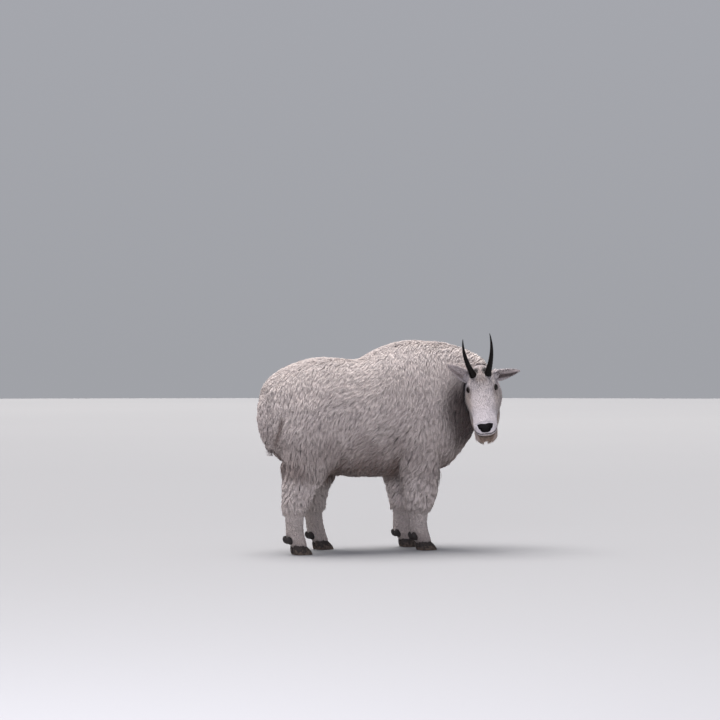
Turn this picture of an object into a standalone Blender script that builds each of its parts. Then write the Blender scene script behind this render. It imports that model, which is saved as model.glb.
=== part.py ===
"""A life-size mountain goat that stands on four feet and turns its head to its right.

Metres, +Z up. The goat faces +X and its left side is +Y. It stands on z = 0, and the origin lies on the
ground under the middle of its outline. Every outline below goes out to the tips of the coat: each solid
has a core under it, and the long coat is built over that core as flat, tapered locks.
"""

import math
import random
from collections import namedtuple

import bmesh
import bpy
from mathutils import Matrix, Vector
from mathutils.bvhtree import BVHTree

# Driving dimensions
HUMP_HEIGHT = 0.974
CROUP_HEIGHT = 0.893
BELLY_HEIGHT = 0.335
FORE_FOOT = Vector((0.268, 0.100, 0.0))
HIND_FOOT = Vector((-0.350, 0.112, 0.0))
HIND_STRIDE = {"right": 0.0, "left": 0.190}
HORN_LENGTH = {"right": 0.192, "left": 0.208}
EAR_LENGTH = 0.124
EYE_RADIUS = 0.0155
HEAD_AT = Vector((0.5225, -0.1785, 0.737))
HEAD_YAW, HEAD_PITCH, HEAD_ROLL = -117.0, 57.0, 6.0

# The middle of the outline on the ground, measured from the middle of the trunk
ORIGIN = Vector((0.086, -0.049, 0.0))

GAP = 0.0003
# The core reaches half way to the tips of the coat
CORE_SHARE = 0.5
CORE_FACES = 1500
SEED = 7

# Locks of the coat: how far apart their roots are, and their length and width as shares of that
LOCK_SPACING = {"trunk": 0.084, "neck": 0.076, "leg": 0.064, "tail": 0.056}
LOCK_LENGTH = 2.2
LOCK_WIDTH = 0.90
# Triangles of the body once its locks are joined to it, before it is parted
COAT_FACES = 6100
# The beard: roots on the underside of the jaw in the head's frame, and the length of each lock
BEARD = [
    (0.186, 0.012, 0.024),
    (0.172, -0.030, 0.034),
    (0.166, 0.036, 0.036),
    (0.150, -0.006, 0.034),
    (0.128, -0.034, 0.050),
    (0.118, 0.032, 0.054),
    (0.098, -0.004, 0.062),
]
BEARD_WIDTH = 0.038
# The short hair below this height of a leg has no locks
CHAPS_END = 0.205
# The legs are nodes of their own below this height, just above the lowest hair of the belly
LEG_TOP = 0.350

UP, FORWARD, LEFT = Vector((0, 0, 1)), Vector((1, 0, 0)), Vector((0, 1, 0))
SIDES = {"right": -1.0, "left": 1.0}

# A ring of a body part: its centre, half its width, how far it reaches towards the crest and away from
# it, and the depth of the coat there. The crest is the back of a trunk or neck and the front of a leg.
Ring = namedtuple("Ring", "x y z width rise drop coat")


def trunk_ring(x, top, bottom, width, coat=0.045, widest=0.44):
    middle = bottom + widest * (top - bottom)
    return Ring(x, 0.0, middle, width, top - middle, middle - bottom, coat)


TRUNK = [
    trunk_ring(-0.484, 0.735, 0.580, 0.060),
    trunk_ring(-0.464, 0.782, 0.490, 0.115),
    trunk_ring(-0.405, 0.832, 0.420, 0.160),
    trunk_ring(-0.310, 0.873, 0.380, 0.181),
    trunk_ring(-0.200, CROUP_HEIGHT, 0.352, 0.188),
    trunk_ring(-0.040, 0.884, BELLY_HEIGHT, 0.192),
    trunk_ring(0.060, 0.922, BELLY_HEIGHT, 0.196),
    trunk_ring(0.150, 0.957, BELLY_HEIGHT, 0.200, 0.055),
    trunk_ring(0.250, HUMP_HEIGHT, 0.332, 0.196, 0.060),
    trunk_ring(0.330, 0.966, 0.350, 0.176, 0.060),
    trunk_ring(0.385, 0.945, 0.372, 0.138, 0.060),
    trunk_ring(0.418, 0.880, 0.430, 0.075, 0.060),
]

NECK = [
    Ring(0.240, 0.000, 0.660, 0.176, 0.310, 0.315, 0.060),
    Ring(0.350, 0.004, 0.685, 0.164, 0.284, 0.335, 0.060),
    Ring(0.435, 0.002, 0.712, 0.144, 0.249, 0.325, 0.060),
    Ring(0.510, -0.026, 0.737, 0.122, 0.206, 0.252, 0.055),
    Ring(0.555, -0.070, 0.755, 0.102, 0.160, 0.175, 0.050),
    Ring(0.578, -0.105, 0.760, 0.074, 0.112, 0.115, 0.045),
    Ring(0.584, -0.125, 0.762, 0.040, 0.060, 0.060, 0.040),
]

FORELEG = [
    Ring(0.212, 0.105, 0.590, 0.080, 0.110, 0.105, 0.050),
    Ring(0.218, 0.108, 0.480, 0.085, 0.106, 0.104, 0.050),
    Ring(0.228, 0.106, 0.370, 0.080, 0.105, 0.096, 0.050),
    Ring(0.236, 0.103, 0.290, 0.071, 0.098, 0.080, 0.045),
    Ring(0.239, 0.101, 0.228, 0.059, 0.073, 0.064, 0.032),
    Ring(0.237, 0.100, 0.185, 0.043, 0.050, 0.048, 0.010),
    Ring(0.235, 0.100, 0.135, 0.037, 0.041, 0.042, 0.007),
    Ring(0.240, 0.100, 0.088, 0.042, 0.042, 0.046, 0.007),
    Ring(0.254, 0.100, 0.056, 0.042, 0.039, 0.043, 0.007),
    Ring(0.263, 0.100, 0.034, 0.041, 0.036, 0.038, 0.006),
]

HINDLEG = [
    Ring(-0.315, 0.095, 0.680, 0.090, 0.130, 0.130, 0.045),
    Ring(-0.295, 0.104, 0.560, 0.095, 0.160, 0.160, 0.050),
    Ring(-0.290, 0.108, 0.460, 0.088, 0.160, 0.150, 0.050),
    Ring(-0.322, 0.112, 0.375, 0.076, 0.126, 0.120, 0.050),
    Ring(-0.360, 0.113, 0.300, 0.065, 0.098, 0.078, 0.040),
    Ring(-0.376, 0.112, 0.235, 0.059, 0.078, 0.064, 0.034),
    Ring(-0.379, 0.112, 0.185, 0.043, 0.050, 0.047, 0.010),
    Ring(-0.377, 0.112, 0.135, 0.037, 0.041, 0.042, 0.007),
    Ring(-0.373, 0.112, 0.088, 0.041, 0.041, 0.045, 0.007),
    Ring(-0.361, 0.112, 0.056, 0.041, 0.038, 0.042, 0.007),
    Ring(-0.353, 0.112, 0.034, 0.040, 0.035, 0.037, 0.006),
]

TAIL = [
    Ring(-0.390, 0.0, 0.770, 0.035, 0.030, 0.030, 0.030),
    Ring(-0.432, 0.0, 0.755, 0.042, 0.034, 0.034, 0.030),
    Ring(-0.466, 0.0, 0.712, 0.050, 0.036, 0.036, 0.030),
    Ring(-0.480, 0.0, 0.645, 0.055, 0.036, 0.036, 0.030),
    Ring(-0.478, 0.0, 0.570, 0.050, 0.034, 0.034, 0.030),
    Ring(-0.462, 0.0, 0.505, 0.036, 0.026, 0.026, 0.024),
    Ring(-0.450, 0.0, 0.465, 0.014, 0.010, 0.010, 0.010),
]

# A toe's hoof from sole to coronet: height, reach to the front and to the back, and half its width
HOOF = [
    (0.000, 0.050, 0.034, 0.0175),
    (0.014, 0.048, 0.036, 0.0190),
    (0.032, 0.036, 0.034, 0.0178),
    (0.050, 0.018, 0.026, 0.0140),
]

# The head in its own frame: x runs to the nose, z to the forehead, and the eyes are at x = 0
HEAD = [
    Ring(-0.122, 0.0, -0.010, 0.022, 0.024, 0.022, 0.0),
    Ring(-0.108, 0.0, -0.012, 0.048, 0.048, 0.050, 0.0),
    Ring(-0.080, 0.0, -0.018, 0.066, 0.070, 0.078, 0.0),
    Ring(-0.045, 0.0, -0.022, 0.077, 0.080, 0.090, 0.0),
    Ring(0.000, 0.0, -0.024, 0.081, 0.078, 0.090, 0.0),
    Ring(0.045, 0.0, -0.022, 0.079, 0.067, 0.080, 0.0),
    Ring(0.090, 0.0, -0.020, 0.068, 0.055, 0.066, 0.0),
    Ring(0.130, 0.0, -0.020, 0.056, 0.047, 0.057, 0.0),
    Ring(0.165, 0.0, -0.021, 0.053, 0.041, 0.053, 0.0),
    Ring(0.190, 0.0, -0.023, 0.050, 0.034, 0.048, 0.0),
    Ring(0.208, 0.0, -0.025, 0.042, 0.026, 0.040, 0.0),
    Ring(0.218, 0.0, -0.026, 0.026, 0.015, 0.024, 0.0),
]

# Swellings and hollows of the head: where, how wide and how high. Each is made on both sides.
HEAD_FORMS = {
    "brow": (Vector((-0.004, 0.058, 0.036)), 0.024, 0.007),
    "cheek": (Vector((-0.008, 0.062, -0.070)), 0.042, 0.008),
    "tear_hollow": (Vector((0.045, 0.052, 0.012)), 0.024, -0.004),
    "horn_seat": (Vector((-0.050, 0.034, 0.056)), 0.026, 0.006),
    "upper_lip": (Vector((0.172, 0.040, -0.026)), 0.024, 0.005),
    "chin": (Vector((0.172, 0.014, -0.066)), 0.024, 0.005),
}

EYE_AT = Vector((0.002, 0.0560, 0.017))
EYE_LOOKS = Vector((0.42, 0.72, 0.55)).normalized()
HORN_AT = Vector((-0.052, 0.033, 0.052))
EAR_AT = Vector((-0.068, 0.062, 0.015))
# Which way each ear runs from its root and which way its cup opens, in the head's frame
EAR_RUNS = {"right": Vector((-0.24, -0.70, 0.68)), "left": Vector((-0.02, 0.99, 0.08))}
EAR_OPENS = {"right": Vector((0.62, 0.0, 0.78)), "left": Vector((0.86, 0.0, 0.48))}
# Half of the nose pad's outline seen from the front, from its top down
NOSE_FRONT = [(0.014, 0.010), (0.031, 0.011), (0.037, 0.003), (0.033, -0.007), (0.016, -0.019)]
MOUTH_LEVEL = -0.037
MOUTH_CORNER = 0.132


def clear_scene():
    for thing in list(bpy.data.objects):
        bpy.data.objects.remove(thing)


def new_collection(name):
    made = bpy.data.collections.new(name)
    bpy.context.scene.collection.children.link(made)
    return made


def object_from(work, name):
    """The bmesh as an object of that name, in triangles that point out."""
    bmesh.ops.recalc_face_normals(work, faces=work.faces)
    # A face that isn't flat would be split in another way by each cut
    bmesh.ops.triangulate(work, faces=work.faces)
    mesh = bpy.data.meshes.new(name)
    work.to_mesh(mesh)
    work.free()
    made = bpy.data.objects.new(name, mesh)
    bpy.context.scene.collection.objects.link(made)
    return made


def settle(thing):
    """Applies the object's modifiers and its place, so that its mesh is what shows."""
    graph = bpy.context.evaluated_depsgraph_get()
    mesh = bpy.data.meshes.new_from_object(thing.evaluated_get(graph))
    mesh.transform(thing.matrix_world)
    thing.modifiers.clear()
    thing.matrix_world = Matrix.Identity(4)
    thing.data = mesh
    return thing


def remove(*things):
    for thing in things:
        bpy.data.objects.remove(thing)


def combine(thing, others, operation):
    """Joins others to thing, cuts them from it, or keeps what they share, and removes them."""
    if operation == "DIFFERENCE" and len(others) > 1:
        # Cutters that overlap are joined first, or slivers of them stay
        others = [combine(others[0], others[1:], "UNION")]
    hold = new_collection("operands")
    for other in others:
        hold.objects.link(other)
    boolean = thing.modifiers.new("combine", "BOOLEAN")
    boolean.operation = operation
    boolean.operand_type = "COLLECTION"
    boolean.collection = hold
    # The exact solver leaves open edges in the head's crowded seats and empties the body's nodes
    boolean.solver = "MANIFOLD"
    bpy.context.view_layer.update()
    settle(thing)
    remove(*others)
    bpy.data.collections.remove(hold)
    return thing


def swell(thing, grow):
    """Grows the object all over along its normals, at its corners as far as on its faces."""
    work = bmesh.new()
    work.from_mesh(thing.data)
    moves = []
    for vertex in work.verts:
        # At a sharp corner the mean normal alone would leave the faces short of their gap
        least = min(vertex.normal.dot(face.normal) for face in vertex.link_faces)
        moves.append(vertex.normal * grow / max(least, 0.35))
    for vertex, move in zip(work.verts, moves):
        vertex.co += move
    work.to_mesh(thing.data)
    work.free()
    return thing


def copy_of(thing, name, grow=0.0):
    """A copy of the object, grown if asked."""
    made = bpy.data.objects.new(name, thing.data.copy())
    bpy.context.scene.collection.objects.link(made)
    return swell(made, grow) if grow else made


def keep_largest(thing):
    """Drops loose scraps and sealed hollows: only the largest closed surface stays."""
    work = bmesh.new()
    work.from_mesh(thing.data)
    todo, islands = set(work.verts), []
    while todo:
        island, edge = set(), [todo.pop()]
        while edge:
            vertex = edge.pop()
            island.add(vertex)
            for link in vertex.link_edges:
                other = link.other_vert(vertex)
                if other in todo:
                    todo.remove(other)
                    edge.append(other)
        islands.append(island)
    islands.sort(key=len)
    for island in islands[:-1]:
        bmesh.ops.delete(work, geom=list(island), context="VERTS")
    work.to_mesh(thing.data)
    work.free()
    return thing


def smooth_between(rings, steps):
    """More rings between the given ones, on a Catmull-Rom curve through all their sizes."""
    made = []
    for i in range(len(rings) - 1):
        a, b = rings[max(i - 1, 0)], rings[i]
        c, d = rings[i + 1], rings[min(i + 2, len(rings) - 1)]
        for step in range(steps):
            t = step / steps
            made.append(
                Ring(
                    *(
                        q
                        + 0.5 * (r - p) * t
                        + 0.5 * (2 * p - 5 * q + 4 * r - s) * t**2
                        + 0.5 * (3 * q - p - 3 * r + s) * t**3
                        for p, q, r, s in zip(a, b, c, d)
                    )
                )
            )
    return made + [rings[-1]]


def loft(name, rings, crest, inset=0.0, sides=20, steps=3, square=2.15, pear=0.0):
    """A closed body through the rings, which lie upright in a body and level in a leg, where the crest is
    the front. inset is the share of the coat's depth left off it, and pear the share by which it is
    narrower at the crest and wider below."""
    rings = smooth_between(rings, steps)
    work = bmesh.new()
    loops = []
    for ring in rings:
        less = inset * ring.coat
        loop = []
        for k in range(sides):
            angle = 2 * math.pi * (k + 0.5) / sides
            c, s = math.cos(angle), math.sin(angle)
            reach = ring.rise if s > 0 else ring.drop
            width = max(ring.width - less, 0.004) * (1 - pear * s)
            aside = math.copysign(abs(c) ** (2 / square), c) * width
            upward = math.copysign(abs(s) ** (2 / square), s) * max(reach - less, 0.004)
            loop.append(work.verts.new(Vector((ring.x, ring.y + aside, ring.z)) + crest * upward))
        loops.append(loop)
    for near, far in zip(loops, loops[1:]):
        for k in range(sides):
            work.faces.new((near[k], near[(k + 1) % sides], far[(k + 1) % sides], far[k]))
    work.faces.new(loops[0])
    work.faces.new(loops[-1])
    return object_from(work, name)


def mirrored(rings, side, stride=0.0):
    """A leg's rings on one side. stride moves the foot forward and leaves the top where it is."""
    top = rings[0].z
    return [r._replace(y=r.y * SIDES[side], x=r.x + stride * (1 - (r.z / top) ** 1.8)) for r in rings]


def leg_rings():
    legs = {}
    for side in SIDES:
        legs["fore", side] = mirrored(FORELEG, side)
        legs["hind", side] = mirrored(HINDLEG, side, HIND_STRIDE[side])
    return legs


def foot_places():
    places = {}
    for side, sign in SIDES.items():
        places["fore", side] = Vector((FORE_FOOT.x, FORE_FOOT.y * sign, 0))
        places["hind", side] = Vector((HIND_FOOT.x + HIND_STRIDE[side], HIND_FOOT.y * sign, 0))
    return places


def crossing(work):
    """The corners of the triangles that pass through others they don't meet."""
    tree = BVHTree.FromBMesh(work)
    work.faces.ensure_lookup_table()
    found = set()
    for a, b in tree.overlap(tree):
        near, far = set(work.faces[a].verts), set(work.faces[b].verts)
        if not near & far:
            found |= near | far
    return found


def mend(thing):
    """Opens the surface where it touches or crosses itself, and closes it afresh."""
    work = bmesh.new()
    work.from_mesh(thing.data)
    bmesh.ops.remove_doubles(work, verts=work.verts, dist=2e-5)
    bmesh.ops.dissolve_degenerate(work, edges=work.edges, dist=1e-6)
    bmesh.ops.triangulate(work, faces=work.faces)
    for _ in range(20):
        pinched = {vertex for vertex in work.verts if not vertex.is_manifold or vertex.is_boundary}
        pinched |= crossing(work)
        if not pinched:
            break
        while pinched:
            bmesh.ops.delete(work, geom=list(pinched), context="VERTS")
            pinched = [vertex for vertex in work.verts if not vertex.is_manifold]
        rims = [edge for edge in work.edges if edge.is_boundary]
        filled = bmesh.ops.holes_fill(work, edges=rims, sides=0)
        bmesh.ops.triangulate(work, faces=filled["faces"])
    bmesh.ops.recalc_face_normals(work, faces=work.faces)
    work.to_mesh(thing.data)
    work.free()
    return thing


def reduce_to(thing, faces):
    """Merges the smallest triangles until about that many are left."""
    triangles = sum(len(face.vertices) - 2 for face in thing.data.polygons)
    coarse = thing.modifiers.new("coarse", "DECIMATE")
    coarse.ratio = min(1.0, faces / triangles)
    bpy.context.view_layer.update()
    return mend(settle(thing))


def body_core(inset, faces):
    """Trunk, neck, tail and legs as one smooth closed body."""
    pieces = [loft("neck_form", NECK, UP, inset, pear=0.18), loft("tail_form", TAIL, FORWARD, inset)]
    for (end, side), rings in leg_rings().items():
        pieces.append(loft(f"{end}_{side}_form", rings, FORWARD, inset))
    core = combine(loft("core", TRUNK, UP, inset), pieces, "UNION")
    remesh = core.modifiers.new("even", "REMESH")
    remesh.mode = "VOXEL"
    remesh.voxel_size = 0.009
    blend = core.modifiers.new("blend", "SMOOTH")
    blend.factor = 0.6
    blend.iterations = 7
    bpy.context.view_layer.update()
    return keep_largest(reduce_to(settle(core), faces))


def head_frame():
    """The head's own frame in the world: its x to the nose, its y to its left, its z to the forehead."""
    yaw = Matrix.Rotation(math.radians(HEAD_YAW), 4, "Z")
    pitch = Matrix.Rotation(math.radians(HEAD_PITCH), 4, "Y")
    roll = Matrix.Rotation(math.radians(HEAD_ROLL), 4, "X")
    # The roll is about the level line of sight, so it comes before the pitch
    return Matrix.Translation(HEAD_AT) @ yaw @ roll @ pitch


def across(place, sign):
    """The same place on the other side of the head when sign is -1."""
    return Vector((place.x, place.y * sign, place.z))


def shape_head(head):
    """Raises the brows, cheeks, lips and chin and presses in the hollow before each eye."""
    for vertex in head.data.vertices:
        moved = Vector()
        for place, radius, height in HEAD_FORMS.values():
            for sign in SIDES.values():
                apart = (vertex.co - across(place, sign)).length / radius
                moved += vertex.normal * height * math.exp(-apart * apart)
        vertex.co += moved
    head.data.update()


def ball(name, place, radius, segments=16, rings=10):
    work = bmesh.new()
    bmesh.ops.create_uvsphere(work, u_segments=segments, v_segments=rings, radius=radius)
    made = object_from(work, name)
    made.data.transform(Matrix.Translation(place))
    return made


def eye_opening(sign):
    """The almond between the lids: what two wide cylinders along the line of sight share."""
    half_height, half_length, depth = 0.0098, 0.0150, 0.05
    radius = (half_height**2 + half_length**2) / (2 * half_height)
    looks = across(EYE_LOOKS, sign)
    turn = looks.to_track_quat("Z", "X").to_matrix().to_4x4()
    # The almond's long way follows the head from nose to ear
    long_way = (FORWARD - looks * FORWARD.dot(looks)).normalized()
    high_way = looks.cross(long_way)
    place = across(EYE_AT, sign) + looks * (depth / 2 + 0.004)
    halves = []
    for way in (-1, 1):
        work = bmesh.new()
        bmesh.ops.create_cone(work, cap_ends=True, segments=28, radius1=radius, radius2=radius, depth=depth)
        half = object_from(work, "almond")
        half.data.transform(Matrix.Translation(place + high_way * way * (radius - half_height)) @ turn)
        halves.append(half)
    return combine(halves[0], halves[1:], "INTERSECT")


def horn(side):
    """A slender black horn that leans out, curves back and bears rings at its foot."""
    sign = SIDES[side]
    rings, spans = [], 15
    place = across(HORN_AT, sign)
    for i in range(spans + 1):
        t = i / spans
        radius = 0.0150 * (1 - t) ** 0.75 + 0.0035 * math.exp(-t / 0.06) + 0.0009
        if 0.10 < t < 0.50:
            radius *= 1.04 if i % 2 else 0.97
        rings.append((place.copy(), radius))
        # The lean fades and the curve back grows towards the tip
        lean = math.radians(18 - 27 * t**1.8) * sign
        back = math.radians(-20 - 36 * t**1.6)
        step = Vector((math.sin(back) * math.cos(lean), math.sin(lean), math.cos(back) * math.cos(lean)))
        place += step * HORN_LENGTH[side] / spans
    work = bmesh.new()
    loops = []
    for i, (centre, radius) in enumerate(rings):
        along = (rings[min(i + 1, spans)][0] - rings[max(i - 1, 0)][0]).normalized()
        out = LEFT.cross(along).normalized()
        over = along.cross(out)
        loops.append(
            [
                work.verts.new(centre + (out * math.cos(a) + over * math.sin(a)) * radius)
                for a in (2 * math.pi * k / 10 for k in range(10))
            ]
        )
    for near, far in zip(loops, loops[1:]):
        for k in range(10):
            work.faces.new((near[k], near[(k + 1) % 10], far[(k + 1) % 10], far[k]))
    work.faces.new(loops[0])
    work.faces.new(loops[-1])
    return object_from(work, f"horn_{side}")


def ear_pieces(side, grow=0.0):
    """A pointed leaf, rolled into a cup that closes towards its root, and the root itself."""
    long_steps, round_steps, wall = 8, 5, 0.0045
    along = EAR_RUNS[side].normalized()
    opens = (EAR_OPENS[side] - along * EAR_OPENS[side].dot(along)).normalized()
    over = along.cross(opens)
    root = across(EAR_AT, SIDES[side])
    work = bmesh.new()
    loops = []
    for i in range(long_steps + 1):
        t = i / long_steps
        width = 0.0330 * (0.72 + 1.1 * t) * (1 - t) ** 0.95 + 0.0028
        curl = math.radians(112 - 70 * t)
        radius = width / math.sin(min(curl, math.pi / 2))
        # The cup's back stays on one line, and its tip bends a little forward
        middle = root + along * EAR_LENGTH * t + opens * (radius - 0.012 + 0.012 * t * t)
        loop = []
        for reach, order in ((radius, range(round_steps + 1)), (radius - wall, range(round_steps, -1, -1))):
            for k in order:
                angle = curl * (2 * k / round_steps - 1)
                turned = over * math.sin(angle) - opens * math.cos(angle)
                loop.append(work.verts.new(middle + turned * reach))
        loops.append(loop)
    count = 2 * round_steps + 2
    for near, far in zip(loops, loops[1:]):
        for k in range(count):
            work.faces.new((near[k], near[(k + 1) % count], far[(k + 1) % count], far[k]))
    work.faces.new(loops[0])
    work.faces.new(loops[-1])
    leaf = object_from(work, f"ear_{side}")
    if grow:
        swell(leaf, grow)
    return [leaf, ball("ear_root", root + opens * 0.006, 0.021 + grow, 10, 7)]


def nose_block(name, grow=0.0):
    """The prism that parts the bare nose pad from the muzzle."""
    outline = NOSE_FRONT + [(-y, z) for y, z in reversed(NOSE_FRONT)]
    work = bmesh.new()
    outline = [(y + math.copysign(grow, y), z + math.copysign(grow, z + 0.004)) for y, z in outline]
    loops = [[work.verts.new((x, y, z)) for y, z in outline] for x in (0.186 - grow, 0.26)]
    for k in range(len(outline)):
        ahead = (k + 1) % len(outline)
        work.faces.new((loops[0][k], loops[0][ahead], loops[1][ahead], loops[1][k]))
    work.faces.new(loops[0])
    work.faces.new(loops[1])
    return object_from(work, name)


def nostril(sign):
    made = ball("nostril", Vector((0, 0, 0)), 1.0, 10, 8)
    place = Matrix.Translation(Vector((0.212, 0.0205 * sign, -0.004)))
    turn = Matrix.Rotation(math.radians(-35 * sign), 4, "X")
    made.data.transform(place @ turn @ Matrix.Diagonal((0.012, 0.0085, 0.0042, 1)))
    return made


def tube(name, points, radius):
    """A closed tube along the points, as a mesh."""
    curve = bpy.data.curves.new(name, "CURVE")
    curve.dimensions = "3D"
    curve.bevel_depth = radius
    curve.bevel_resolution = 1
    curve.use_fill_caps = True
    spline = curve.splines.new("POLY")
    spline.points.add(len(points) - 1)
    for held, point in zip(spline.points, points):
        held.co = (*point, 1.0)
    line = bpy.data.objects.new(name, curve)
    bpy.context.scene.collection.objects.link(line)
    bpy.context.view_layer.update()
    graph = bpy.context.evaluated_depsgraph_get()
    work = bmesh.new()
    work.from_mesh(bpy.data.meshes.new_from_object(line.evaluated_get(graph)))
    bmesh.ops.remove_doubles(work, verts=work.verts, dist=1e-5)
    remove(line)
    return object_from(work, name)


def mouth_line(head):
    """The groove between the lips, laid on the muzzle from one corner round the front to the other."""
    tree = BVHTree.FromObject(head, bpy.context.evaluated_depsgraph_get())
    inside = Vector((MOUTH_CORNER, 0, MOUTH_LEVEL))
    points = []
    for k in range(15):
        angle = math.radians(84 * (k / 7 - 1))
        out = Vector((math.cos(angle), math.sin(angle), 0.09 * (1 - math.cos(angle))))
        points.append(tree.ray_cast(inside, out)[0])
    return tube("mouth_line", points, 0.0032)


def beard(head):
    """Flat locks that hang from the jaw, broad side to the front of the face."""
    tree = BVHTree.FromObject(head, bpy.context.evaluated_depsgraph_get())
    down = head_frame().to_3x3().inverted() @ -UP
    side = (LEFT - down * LEFT.dot(down)).normalized()
    locks = []
    for reach, aside, length in BEARD:
        root = tree.ray_cast(Vector((reach, aside, -0.02)), down)[0]
        bend = side * aside * 0.35
        work = bmesh.new()
        loops = []
        for t, wide, thick in ((-0.35, 0.7, 0.005), (0.25, 1.0, 0.006), (0.65, 0.72, 0.005)):
            centre = root + down * length * t - bend * t * t
            reach_aside = side * 0.5 * BEARD_WIDTH * wide
            facing = side.cross(down) * thick
            corners = (centre + reach_aside - facing, centre + facing, centre - reach_aside - facing)
            loops.append([work.verts.new(corner) for corner in corners])
        tip = work.verts.new(root + down * length - bend)
        for near, far in zip(loops, loops[1:]):
            for k in range(3):
                work.faces.new((near[k], near[(k + 1) % 3], far[(k + 1) % 3], far[k]))
        for k in range(3):
            work.faces.new((loops[-1][k], loops[-1][(k + 1) % 3], tip))
        work.faces.new(loops[0])
        locks.append(object_from(work, "beard_lock"))
    return locks


def head_parts():
    """The head and what is set in it, and the grown forms that cut their seats from the body."""
    head = loft("head", HEAD, UP, sides=28, steps=2, square=2.3, pear=0.13)
    shape_head(head)
    hair = beard(head)
    seats, own_seats = [copy_of(head, "seat", GAP)], []
    seats += [copy_of(lock, "seat", GAP) for lock in hair]
    parts = {"head": head}
    for side, sign in SIDES.items():
        parts[f"eye_{side}"] = ball(f"eye_{side}", across(EYE_AT, sign), EYE_RADIUS, 14, 8)
        parts[f"horn_{side}"] = horn(side)
        leaf, root = ear_pieces(side)
        combine(leaf, [root], "UNION")
        parts[f"ear_{side}"] = combine(leaf, [copy_of(parts[f"horn_{side}"], "seat", GAP)], "DIFFERENCE")
        own_seats.append(copy_of(parts[f"eye_{side}"], "seat", GAP))
        own_seats.append(copy_of(parts[f"horn_{side}"], "seat", GAP))
        own_seats += ear_pieces(side, GAP)
        seats.append(copy_of(parts[f"horn_{side}"], "seat", GAP))
        seats += ear_pieces(side, GAP)
    lids = [ball("lids", across(EYE_AT, sign), EYE_RADIUS + 0.0028, 16, 10) for sign in SIDES.values()]
    combine(head, lids + hair, "UNION")
    combine(head, [mouth_line(head)], "DIFFERENCE")
    parts["nose_pad"] = combine(copy_of(head, "nose_pad"), [nose_block("nose_front")], "INTERSECT")
    combine(parts["nose_pad"], [nostril(sign) for sign in SIDES.values()], "DIFFERENCE")
    openings = [eye_opening(sign) for sign in SIDES.values()]
    combine(head, [nose_block("nose_seat", GAP)] + openings + own_seats, "DIFFERENCE")
    for part in parts.values():
        keep_largest(part)
    for thing in [*parts.values(), *seats]:
        thing.data.transform(head_frame())
    return parts, seats


def lie(place, normal):
    """Which way the coat lies there: back and down, parted along the spine, and straight down a leg."""
    sweep = -0.65 if place.z > 0.42 else -0.12
    # Along the spine itself the coat lies straight back
    parted = 0.45 * max(normal.z, 0) * max(-1.0, min(1.0, place.y / 0.09))
    flow = Vector((sweep, parted, -1.0))
    return (flow - normal * flow.dot(normal)).normalized()


def coat_region(place):
    if place.x < -0.45 and abs(place.y) < 0.07:
        return "tail"
    if place.x > 0.36:
        return "neck"
    return "leg" if place.z < 0.45 and abs(place.y) > 0.03 else "trunk"


def lock(skin, outline, place, normal, spacing, chance):
    """A flat lock with a ridge, rooted in the core, that follows it and tapers to a tip on the outline."""
    length = LOCK_LENGTH * spacing * chance.uniform(0.8, 1.25)
    half_width = 0.5 * LOCK_WIDTH * spacing * chance.uniform(0.8, 1.2)
    turn, bend = chance.uniform(-0.35, 0.35), chance.uniform(-0.9, 0.9)
    # Along the lock: how far out it lies, as a share of the coat over the core, its width and its ridge
    shape = [(-0.60, 0.60, 0.004), (0.50, 1.00, 0.010), (0.90, 0.80, 0.010), (1.00, 0.0, 0.0)]
    step = length / (len(shape) - 1)
    work = bmesh.new()
    loops = []
    for i, (reach, wide, ridge) in enumerate(shape):
        t = i / (len(shape) - 1)
        hit = outline.ray_cast(place - normal * 0.002, normal, 0.12)
        depth = min(max((hit[3] or 0.02) - 0.002, 0.008), 0.045)
        flow = Matrix.Rotation(turn + bend * t * t, 3, normal) @ lie(place, normal)
        side = normal.cross(flow).normalized()
        centre = place + normal * depth * reach
        if wide:
            sink = 0.35 * depth + 0.002
            edges = [centre + side * half_width * wide * way - normal * sink for way in (1, -1)]
            points = [edges[0], centre + normal * ridge, edges[1]]
        else:
            points = [centre]
        loops.append([work.verts.new(point) for point in points])
        ahead = place + flow * step
        nearest, slope = skin.find_nearest(ahead)[:2]
        # A lock at the foot of the chaps hangs straight down
        cling = 0.3 if place.z < 0.32 else 0.9
        place = ahead.lerp(nearest, cling)
        normal = normal.lerp(slope, cling).normalized()
    for near, far in zip(loops, loops[1:]):
        for k in range(3):
            ahead = (k + 1) % 3
            ends = (far[ahead], far[k]) if len(far) == 3 else (far[0],)
            work.faces.new((near[k], near[ahead], *ends))
    work.faces.new(loops[0])
    bmesh.ops.triangulate(work, faces=work.faces)
    # In a tight fold of the skin a lock can cross itself, and then it's left out
    if crossing(work):
        work.free()
        return None
    return object_from(work, "lock")


def roots_of_locks(core, skin, chance):
    """Places along the spine and then all over the core, evenly spread, where the coat is long."""
    spine = [(0.043 * k - 0.46, (0.0, 0.07, 0.0, -0.07)[k % 4]) for k in range(21)]
    spine += [(ring.x, ring.y) for ring in NECK[2:-1]]
    candidates = [skin.ray_cast(Vector((x, y, 2.0)), -UP)[:2] for x, y in spine]
    faces = core.data.polygons
    for face in chance.choices(faces, weights=[face.area for face in faces], k=12000):
        corners = [core.data.vertices[v].co for v in face.vertices[:3]]
        a, b = sorted((chance.random(), chance.random()))
        place = corners[0] * a + corners[1] * (b - a) + corners[2] * (1 - b)
        candidates.append((place, face.normal.copy()))
    found = []
    for place, normal in candidates:
        if place.z < CHAPS_END + 0.06 or (place - HEAD_AT).length < 0.085:
            continue
        spacing = LOCK_SPACING[coat_region(place)]
        if all((place - other).length > 0.5 * (spacing + wide) for other, _, wide in found):
            found.append((place, normal, spacing))
    return found


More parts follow.
